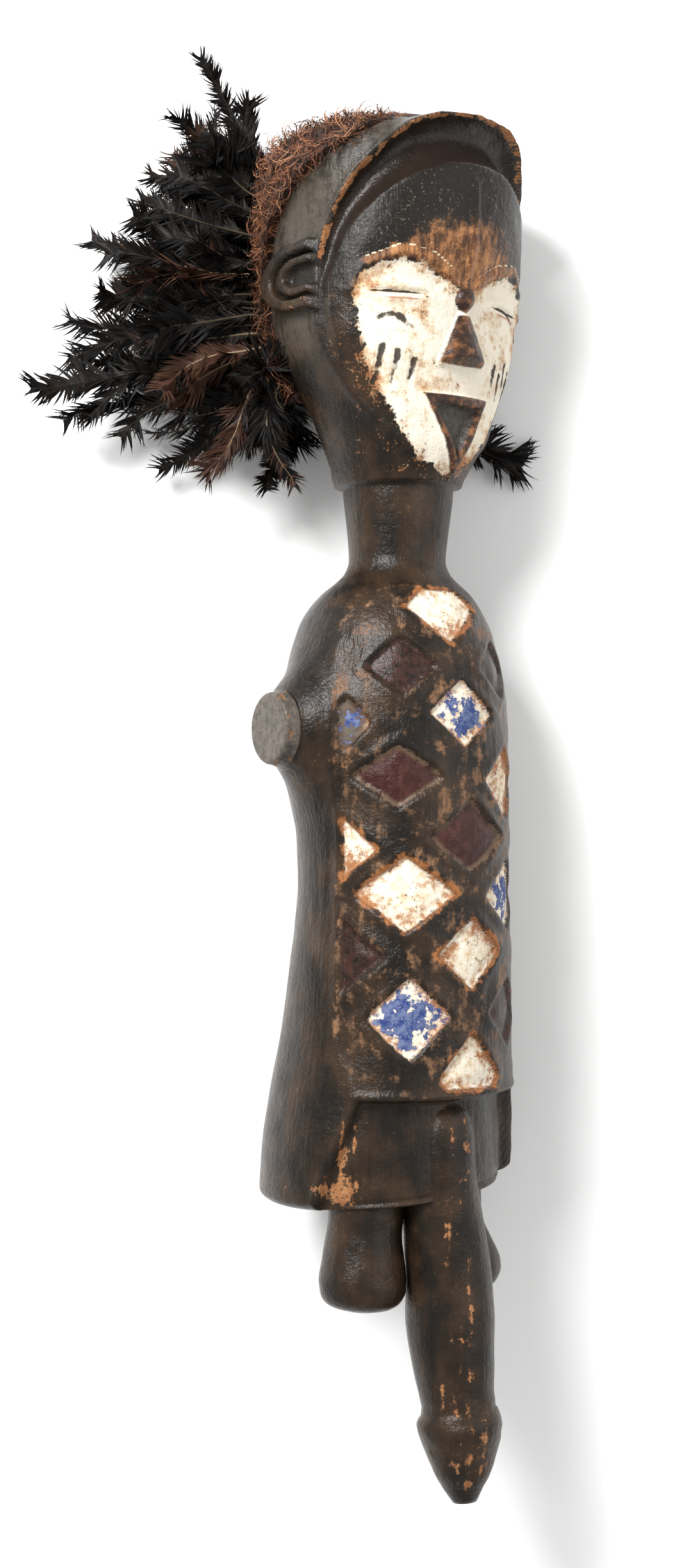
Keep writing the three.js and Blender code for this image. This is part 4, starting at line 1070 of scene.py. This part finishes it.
def wood_material():
    look = Surface("patinated_wood")
    fine, mid, large = look.noise(1500, 2), look.noise(260, 4, shift=3), look.noise(38, 4, shift=5)
    grain = look.noise(420, 3, GRAIN, 1.0)
    streak = look.noise(150, 4, GRAIN, 2.0)
    pits = look.noise(620, 1, shift=7)
    flakes = look.noise(110, 5, shift=9, rough=0.7)

    base = look.mix(BLACK, BROWN, (large * 2.4 + streak * 0.9 + 0.42).step(0, 1))
    base = look.mix(base, UMBER, (mid + grain * 0.8 + large * 0.7 - 0.20).step(0, 0.35) * 0.75)

    tan = look.mix((0.080, 0.043, 0.024), (0.24, 0.125, 0.062), (grain * 2.4 + fine * 1.4 + 0.5).step(0, 1))
    bands = (flakes * 3.0 + streak * 1.4 + look.attribute("band") * 0.72 - 0.74).step(0.0, 0.5)
    base = look.mix(base, tan, bands * 0.85)
    dust = (pits * 1.7 + fine * 0.9 + large * 0.8 - 0.46).step(0.0, 0.12)
    base = look.mix(base, (0.16, 0.095, 0.055), dust * 0.55)

    # Where hands and time have rubbed the patina away
    height, aside = look.attribute("height"), look.attribute("aside")
    shaft, arm_face = look.attribute("shaft"), look.attribute("arm_face")
    rub = flakes * 2.2 + streak * 2.4 + mid * 0.7 - 0.95
    shaft_front = (aside + 7.0).math("ABSOLUTE").step(20, 2) * shaft
    rub = rub + shaft_front * 0.80 + look.attribute("arm_rim") * 0.75
    rim = look.attribute("rim")
    rub = rub + (rim + mid * 1.2).step(1.6, 0.2) * 1.25 + look.attribute("ear_top") * 0.62
    border = (aside + height * -0.12 + 87.0).math("ABSOLUTE")
    skirt = height.step(240, 205) * height.step(169, 175) * border.step(14, 1) * (1.0 - shaft)
    rub = rub + skirt * 0.88
    hem = (height - 181.0).math("ABSOLUTE").step(9, 0) * (1.0 - shaft)
    rub = rub + hem * 0.55
    worn = rub.step(0.0, 0.16)
    wood = look.mix(ORANGE, AMBER, (grain * 2.2 + fine * 0.6 + 0.45).step(0, 1))
    wood = look.mix(wood, BROWN, (pits * 2.6 + grain * 1.8 + fine - 0.18).step(0, 0.5) * 0.85)
    colour = look.mix(base, wood, worn * 0.9)
    sawn = look.mix((0.050, 0.043, 0.036), (0.12, 0.10, 0.082), (mid * 2 + fine * 1.5 + 0.5).step(0, 1))
    colour = look.mix(colour, sawn, arm_face.step(0.5, 0.9) * (1.0 - worn * 0.6))

    # Smooth grey-black cap, and the dark hollow under the hood's edge
    cap = look.attribute("cap")
    grey_share = (streak * 1.4 + mid * 1.5 + large * 2 + 0.62).step(0, 1)
    grey = look.mix((0.020, 0.0165, 0.013), (0.062, 0.050, 0.038), grey_share)
    colour = look.mix(colour, grey, cap * (1.0 - worn))
    colour = look.mix(colour, (0.009, 0.007, 0.0055), look.attribute("ear_groove") * 0.85)
    channel = look.attribute("channel")
    colour = look.mix(colour, (0.016, 0.011, 0.009), channel * (rim.step(1.0, 2.5)) * 0.85)

    # Forehead: black with pale specks, bare wood over the brows
    forehead = look.attribute("forehead").step(-1.0, 1.5)
    specks = (pits * 1.2 + fine * 1.2 + flakes * 0.8 - 0.24).step(0, 0.16)
    dark_front = look.mix((0.0095, 0.0072, 0.0055), (0.17, 0.155, 0.125), specks * 0.75)
    colour = look.mix(colour, dark_front, forehead * 0.95)
    bare = (look.attribute("bare_forehead") * 0.16 + flakes * 5.0 + mid * 2.0 + 0.1).step(0.0, 2.6) * forehead
    front_share = (grain * 1.9 + fine * 1.2 + flakes * 1.6 + 0.40).step(0, 1)
    front_wood = look.mix((0.075, 0.030, 0.013), (0.44, 0.20, 0.078), front_share)
    colour = look.mix(colour, front_wood, bare * 0.95)

    # Pigment in the lozenges
    lozenge = look.attribute("lozenge")
    edge = mid * 3.0 + fine * 1.6 + flakes * 3.4
    inside = (lozenge + edge).step(-0.35, 0.5)
    white, blue, red = (look.attribute(n) for n in ("white", "blue", "red"))
    chalk = look.mix(CHALK, CREAM, (mid * 2.2 + large * 1.2 + 0.35).step(0, 1))
    rust = (lozenge * -0.11 + flakes * 5.2 + mid * 3.0 + fine * 1.6 + large * 3.0 + 0.78).step(0.0, 1.3)
    chalk = look.mix(chalk, STAIN, rust * 0.92)
    dirt = (pits * 2.2 + flakes * 2.6 + fine * 1.2 - 0.50).step(0, 0.25)
    chalk = look.mix(chalk, (0.075, 0.034, 0.016), dirt)
    blue_paint = look.mix(BLUE, (0.13, 0.16, 0.27), (mid * 3 + fine * 1.5 + 0.45).step(0, 1))
    under = look.mix(chalk, (0.045, 0.030, 0.022), aside.step(-50, -58) * 0.9)
    blues = look.mix(under, blue_paint, (flakes * 4.6 + mid * 1.8 + lozenge * 0.12 - 0.42).step(0.0, 0.25))
    reds = look.mix(RED, (0.062, 0.022, 0.017), (mid * 3 + grain + flakes + 0.35).step(0, 1))
    # Lighter brown rim just inside the red lozenges' edges: partly scuffed paint, partly a painted highlight
    # of the lit recess walls.
    scuff_and_rim_highlight = lozenge.step(3.2, 0.6) * (flakes * 4 + mid * 2 + 0.55).step(0, 0.5)
    reds = look.mix(reds, (0.12, 0.080, 0.050), scuff_and_rim_highlight * 0.8)
    bare_dark = look.mix(BLACK, (0.050, 0.020, 0.014), (mid * 2 + 0.5).step(0, 1))
    paint = look.mix(bare_dark, chalk, white)
    paint = look.mix(paint, blues, blue)
    paint = look.mix(paint, reds, red)
    colour = look.mix(colour, paint, inside)
    chalky = inside * (white.most(blue))
    halo = (lozenge * 0.5 + flakes * 7.0 + mid * 3.0).step(-1.2, 0.3) * (1.0 - inside) * white
    halo = halo * lozenge.step(-4.5, -1.5)
    colour = look.mix(colour, (0.34, 0.125, 0.036), halo * 0.85)

    # The face
    face = look.attribute("face")
    painted = (face + flakes * 9.0 + edge * 0.9).step(0.0, 0.8)
    skin = look.mix(CHALK, CREAM, (flakes * 2.6 + large * 2.4 + face * -0.05 + 0.52).step(0, 1))
    stain = (face * -0.085 + flakes * 4.4 + mid * 2.4 + fine * 1.2 + large * 2.8 + 0.50).step(0.0, 1.5)
    skin = look.mix(skin, STAIN, stain * 0.9)
    chips = (pits * 2.3 + flakes * 2.6 + face * -0.035 + fine - 0.31).step(0, 0.25)
    skin = look.mix(skin, (0.085, 0.042, 0.02), chips * 0.9)
    colour = look.mix(colour, skin, painted)
    cheek = look.attribute("cheek") * (1.0 - painted)
    colour = look.mix(colour, look.mix(BLACK, BROWN, (large * 2 + streak + 0.4).step(0, 1)), cheek * 0.85)
    grime = (face * 0.07 + flakes * 4.5 + pits * 1.8 + fine - 0.10).step(0.0, 0.3) * cheek
    colour = look.mix(colour, look.mix(STAIN, CREAM, (mid * 3 + 0.3).step(0, 1)), grime * 0.6)
    bare_mask = (look.attribute("bare") + mid * 1.2).step(-0.2, 0.5)
    carved_share = (flakes * 2.2 + mid * 1.5 + 0.22).step(0, 1)
    carved = look.mix((0.030, 0.016, 0.011), (0.30, 0.125, 0.05), carved_share)
    colour = look.mix(colour, carved, bare_mask)
    hollow = look.attribute("hollow").step(-0.4, 0.8)
    colour = look.mix(colour, look.mix((0.035, 0.030, 0.026), ASH, (mid * 2 + 0.45).step(0, 1)), hollow)
    marks = (look.attribute("marks") + mid * 0.9).step(0.42, 0.66)
    colour = look.mix(colour, (0.020, 0.014, 0.010), marks * 0.95)
    lids = (look.attribute("lids") + mid * 0.8).step(0.45, 0.7)
    colour = look.mix(colour, (0.33, 0.10, 0.05), lids * 0.7)
    band = (look.attribute("brow_band") + flakes * 0.7).step(0.35, 0.75)
    colour = look.mix(colour, front_wood, band * 0.7)
    line = (look.attribute("brow_line") + flakes * 1.6).step(0.6, 0.8)
    colour = look.mix(colour, (0.72, 0.60, 0.42), line * 0.85)

    chalky = chalky.most(painted * (1.0 - bare_mask))
    rough = (0.27 + mid * 0.30 + worn * 0.28 + bands * 0.2).most(chalky * 0.82)
    rough = rough + forehead * 0.10 + cap * 0.05
    relief = grain * 0.55 + mid * 0.6 + fine * 0.25 + (0.0 - worn) * 0.5 + chalky * 0.8 + pits * 0.3
    look.shader.inputs["Specular IOR Level"].default_value = 0.21
    return look.finish(colour, rough, relief, 0.0008, 0.85)


wood = wood_material()
print("wood", len(wood.node_tree.nodes), "nodes")


# %% [markdown]
# The fibre is reddish brown, some strands paler. The feathers are nearly black, a few with brown barbs and
# a pale quill. The materials are then put on.

# %% Fibre and feather
def fibre_material():
    look = Surface("fibre")
    strand = look.attribute("tone")
    tone = look.noise(90, 4) + look.noise(900, 2, shift=2) * 0.8
    tone_share = (tone * 2 + strand * 0.9 - 0.05).step(0, 1)
    colour = look.mix((0.022, 0.009, 0.005), (0.21, 0.070, 0.026), tone_share)
    colour = look.mix(colour, (0.40, 0.20, 0.095), strand.step(0.80, 1.0) * 0.7)
    return look.finish(colour, 0.85, look.noise(1400, 2), 0.0004, 0.6)


def feather_material():
    look = Surface("feather")
    tone = look.attribute("tone")
    brown = look.attribute("brown")
    colour = look.mix((0.0028, 0.0026, 0.0026), (0.010, 0.0068, 0.005), tone.step(0.25, 0.75))
    colour = look.mix(colour, (0.060, 0.027, 0.016), (tone * 0.5 + look.noise(60, 3) + brown).step(0.72, 1.1))
    colour = look.mix(colour, (0.30, 0.22, 0.14), look.attribute("quill") * (0.06 + brown * 0.9))
    look.shader.inputs["Specular IOR Level"].default_value = 0.12
    return look.finish(colour, 0.5)


fibre, plume = fibre_material(), feather_material()


def simple(name, colour, roughness):
    look = Surface(name)
    pale = look.mix(colour, tuple(c * 0.965 for c in colour), (look.noise(3, 3) * 2 + 0.5).step(0, 1))
    return look.finish(pale, roughness)


carving.data.materials.clear()
carving.data.materials.append(wood)
for polygon in carving.data.polygons:
    polygon.use_smooth = True

# %% [markdown]
# Every packed blade becomes a feather: its line gets a slight wave and a hook at the tip, and the quill is
# kept above the floor. The last blade gets no hook and no brown, but a wider vane.

# %% Feathers
VANE = [(0.0, 0.10), (0.12, 0.34), (0.28, 0.70), (0.5, 1.0), (0.75, 1.0), (0.9, 0.9), (1.0, 0.72)]
FLUFF, LINE_POINTS, BARB_WIDTH = 84, 22, 0.24
WAVE_SIZE, HOOK_SIZE = 0.0032, 0.009
VANE_WIDENING, LAST_VANE_WIDENING = 1.25, 1.5
plumes = plume_graph()
feathers = []
chance = np.random.default_rng(7)


def vane_shape(t):
    return np.interp(t, [a for a, _ in VANE], [b for _, b in VANE])


def plume_on(name, line, sides, vane, barbs, brown, seed):
    """One feather: the quill line is lifted off the floor, grown into barbs and coloured as a whole."""
    line[:, 2] = np.maximum(line[:, 2], 0.0015 + 0.25 * vane)
    feather = line_object(name, line, sides, vane)
    sweep, curl = float(chance.uniform(0.9, 1.6)), float(chance.uniform(0.1, 0.6))
    uneven = float(chance.uniform(0.15, 0.45))
    grow(feather, plumes, Barbs=barbs, Sweep=sweep, Curl=curl, Barb_width=BARB_WIDTH, Uneven=uneven,
         Seed=seed, Material=plume)
    at = points_of(feather)
    at[:, 2] = np.maximum(at[:, 2], 0.0004)
    move_points(feather, at)
    give(feather, "brown", np.full(len(at), brown))
    return feather


lines = []
blades = sorted(n for n in frame["nodes"] if n.startswith("feather_"))
for number, name in enumerate(blades):
    last = number == len(blades) - 1
    centres, sides, halves = blade_line(name)
    line, t = smooth_line(centres, LINE_POINTS), np.linspace(0, 1, LINE_POINTS)
    wave = np.stack([np.sin(t * 6 + number), np.cos(t * 5 + number * 2), np.sin(t * 7 + number * 3)], 1)
    line = line + wave * WAVE_SIZE * smooth_step(0.1, 0.9, t)[:, None]
    hook = chance.normal(0, HOOK_SIZE, 3) * [1, 1, 0.8] * (not last)
    line = line + hook * (smooth_step(0.45, 1.0, t) ** 1.5)[:, None]
    vane = halves.max() * (LAST_VANE_WIDENING if last else VANE_WIDENING) * vane_shape(t)
    sides = smooth_line(sides, LINE_POINTS)
    lines.append((line, sides, vane))
    barbs = int(95 + 30 * chance.random())
    brown = float(chance.random() ** 5) * (not last)
    feathers.append(plume_on("look_" + name, line, sides, vane, barbs, brown, number * 7 + 3))
print("feathers", len(feathers), "faces", sum(len(f.data.polygons) for f in feathers))

# %% [markdown]
# Between the large feathers stand many short, soft ones. Each follows a mix of two neighbours, shorter,
# twisted and bent at its own angle.

# %% Short feathers between the large ones
short = []
for number in range(FLUFF):
    first = chance.integers(0, len(lines) - 2)
    gaps = [np.linalg.norm(lines[first][0][0] - other[0][0]) for other in lines]
    second = np.argsort(gaps)[chance.integers(1, 6)]
    share = chance.random()
    line = lines[first][0] * (1 - share) + lines[second][0] * share
    root = line[0]
    line = root + (line - root) * chance.uniform(0.35, 0.80)
    t = np.linspace(0, 1, len(line))
    bend = chance.normal(0, 0.016, 3) * [1, 1, 0.6]
    line = line + bend * (t ** 2)[:, None] + chance.normal(0, 0.002, 3)
    sides = lines[first][1] + chance.normal(0, 0.5, 3)
    sides = sides / np.linalg.norm(sides, axis=1)[:, None]
    vane = chance.uniform(0.007, 0.013) * vane_shape(t)
    short.append(plume_on("short", line, sides, vane, 60, float(chance.random() ** 4), 400 + number * 5))
work = bmesh.new()
for piece in short:
    work.from_mesh(piece.data)
fluff = add_object("look_short_feathers", bpy.data.meshes.new("look_short_feathers"))
work.to_mesh(fluff.data)
work.free()
fluff.data.materials.append(plume)
for piece in short:
    bpy.data.objects.remove(piece)
print("short feathers", FLUFF, "faces", len(fluff.data.polygons))

# %% [markdown]
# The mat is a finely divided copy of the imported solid, with thousands of fibres standing on it. They are
# shorter where the mat lies close to the wood.

# %% Mat
FIBRE_DENSITY, FIBRE_LENGTH, LONGEST_EDGE = 330000.0, 0.0085, 0.006
SPIN_LOW, SPIN_HIGH = (-0.5, -0.55, -3.14), (0.5, 0.25, 3.14)
mat = add_object("look_fibre_mat", frame["nodes"]["fibre_mat"].data.copy())
mat.data.transform(frame["nodes"]["fibre_mat"].matrix_world)
work = bmesh.new()
work.from_mesh(mat.data)
bmesh.ops.remove_doubles(work, verts=work.verts, dist=0.00002)
bmesh.ops.triangulate(work, faces=work.faces)
for _ in range(3):
    long_edges = [e for e in work.edges if e.calc_length() > LONGEST_EDGE]
    if long_edges:
        bmesh.ops.subdivide_edges(work, edges=long_edges, cuts=1)
        bmesh.ops.triangulate(work, faces=[f for f in work.faces if len(f.verts) > 3])
bmesh.ops.recalc_face_normals(work, faces=work.faces)
work.to_mesh(mat.data)
work.free()


def fibre_graph():
    g = Graph("fibres", [("Density", "Float", 100000.0), ("Length", "Float", 0.009), ("Seed", "Int", 3),
                         ("Material", "Material", None)])
    into = g.start.outputs
    scatter = g.node("GeometryNodeDistributePointsOnFaces",
                     {"Mesh": into["Geometry"], "Density": into["Density"], "Seed": into["Seed"]},
                     distribute_method="RANDOM")
    strip = g.out("GeometryNodeMeshGrid", {"Size X": 1.0, "Size Y": 1.0, "Vertices X": 5, "Vertices Y": 2})
    apart = g.node("ShaderNodeSeparateXYZ", {0: g.out("GeometryNodeInputPosition")})
    t = g.number("ADD", apart.outputs[0], 0.5)
    bow = g.number("MULTIPLY", g.number("SINE", g.number("MULTIPLY", t, 3.0)), 0.30)
    across = g.number("ADD", bow, g.number("MULTIPLY", apart.outputs[1], 0.05))
    upward = g.number("MULTIPLY", g.number("SINE", g.number("MULTIPLY", t, 2.6)), 0.24)
    bent = g.out("ShaderNodeCombineXYZ", {0: t, 1: across, 2: upward})
    thread = g.out("GeometryNodeSetPosition", {"Geometry": strip, "Position": bent})
    spin = g.random(SPIN_LOW, SPIN_HIGH, into["Seed"], "FLOAT_VECTOR")
    spin = g.out("FunctionNodeEulerToRotation", {0: spin})
    turned = g.out("FunctionNodeRotateRotation", {"Rotation": scatter.outputs["Rotation"], "Rotate By": spin},
                   rotation_space="LOCAL")
    size = g.number("MULTIPLY", into["Length"], g.random(0.5, 1.5, g.number("ADD", into["Seed"], 5.0)))
    size = g.number("MULTIPLY", size, named(g, "full", "FLOAT"))
    set_out = g.out("GeometryNodeInstanceOnPoints", {"Points": scatter.outputs[0], "Instance": thread,
                                                     "Rotation": turned, "Scale": size})
    toned = g.out("GeometryNodeStoreNamedAttribute",
                  {"Geometry": set_out, "Name": "tone", "Value": g.random(0.25, 1.0, into["Seed"])},
                  data_type="FLOAT", domain="INSTANCE")
    real = g.out("GeometryNodeRealizeInstances", {0: toned})
    both = g.node("GeometryNodeJoinGeometry")
    g.group.links.new(real, both.inputs[0])
    g.group.links.new(into["Geometry"], both.inputs[0])
    done = g.out("GeometryNodeSetMaterial", {"Geometry": both.outputs[0], "Material": into["Material"]})
    g.group.links.new(done, g.end.inputs[0])
    return g


# Shorter fibres over the crown and on the far side, where the mat lies close to the wood
away = points_of(mat) * 1000 - HOME
to_left, height = away @ SIDE, away[:, 1]
full = 1 - 0.8 * smooth_step(-42, -22, to_left) * np.maximum(smooth_step(712, 730, height), to_left > 15)
give(mat, "full", full)
mat.data.materials.clear()
grow(mat, fibre_graph(), Density=FIBRE_DENSITY, Length=FIBRE_LENGTH, Seed=3, Material=fibre)
low = points_of(mat)
low[:, 2] = np.maximum(low[:, 2], 0.0003)
move_points(mat, low)
print("mat", len(mat.data.polygons), "faces")

# %% [markdown]
# A wide pale floor, an even white surrounding, a key light beyond the figure's right side and a weak fill
# light. The camera stands above the figure where the photo was taken from.

# %% Floor, light and camera
WORLD_STRENGTH, KEY_ENERGY, FILL_ENERGY = 0.64, 47, 9
AIM = (0.05, 0, 0.05)
CAMERA_FROM_AXIS = np.array([-0.02555, 0.3918, 1.155])
FOCAL_PIXELS, PHOTO_HEIGHT, SENSOR_WIDTH = 3300, 2447, 36
bpy.ops.mesh.primitive_plane_add(size=20, location=(0, 0, -0.0004))
floor = bpy.context.object
floor.name = "floor"
floor.data.materials.append(simple("floor", (0.93, 0.93, 0.925), 0.9))
world = bpy.data.worlds.new("world")
bpy.context.scene.world = world
world.use_nodes = True
world.node_tree.nodes["Background"].inputs[0].default_value = (1, 1, 1, 1)
world.node_tree.nodes["Background"].inputs[1].default_value = WORLD_STRENGTH


def area_light(name, place_at, aim, size, energy):
    lamp = add_object(name, bpy.data.lights.new(name, "AREA"))
    lamp.location = place_at
    lamp.rotation_euler = (Vector(aim) - lamp.location).to_track_quat("-Z", "Y").to_euler()
    lamp.data.size = size
    lamp.data.energy = energy


area_light("key", (-0.7, 0.9, 1.3), AIM, 0.6, KEY_ENERGY)
area_light("fill", (1.3, 0.2, 1.0), AIM, 1.4, FILL_ENERGY)
camera = add_object("camera", bpy.data.cameras.new("camera"))
camera.location = HOME / 1000 + CAMERA_FROM_AXIS
camera.data.sensor_width = SENSOR_WIDTH
camera.data.lens = FOCAL_PIXELS / PHOTO_HEIGHT * SENSOR_WIDTH
bpy.context.scene.camera = camera
bpy.context.scene.view_settings.view_transform = "Standard"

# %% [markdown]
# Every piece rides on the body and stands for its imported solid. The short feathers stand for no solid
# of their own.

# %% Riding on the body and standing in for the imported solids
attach(carving, "root")
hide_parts("carved_figure")
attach(mat, "root")
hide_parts("fibre_mat")
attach(fluff, "root")
for feather in feathers:
    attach(feather, "root")
    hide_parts(feather.name.replace("look_", ""))
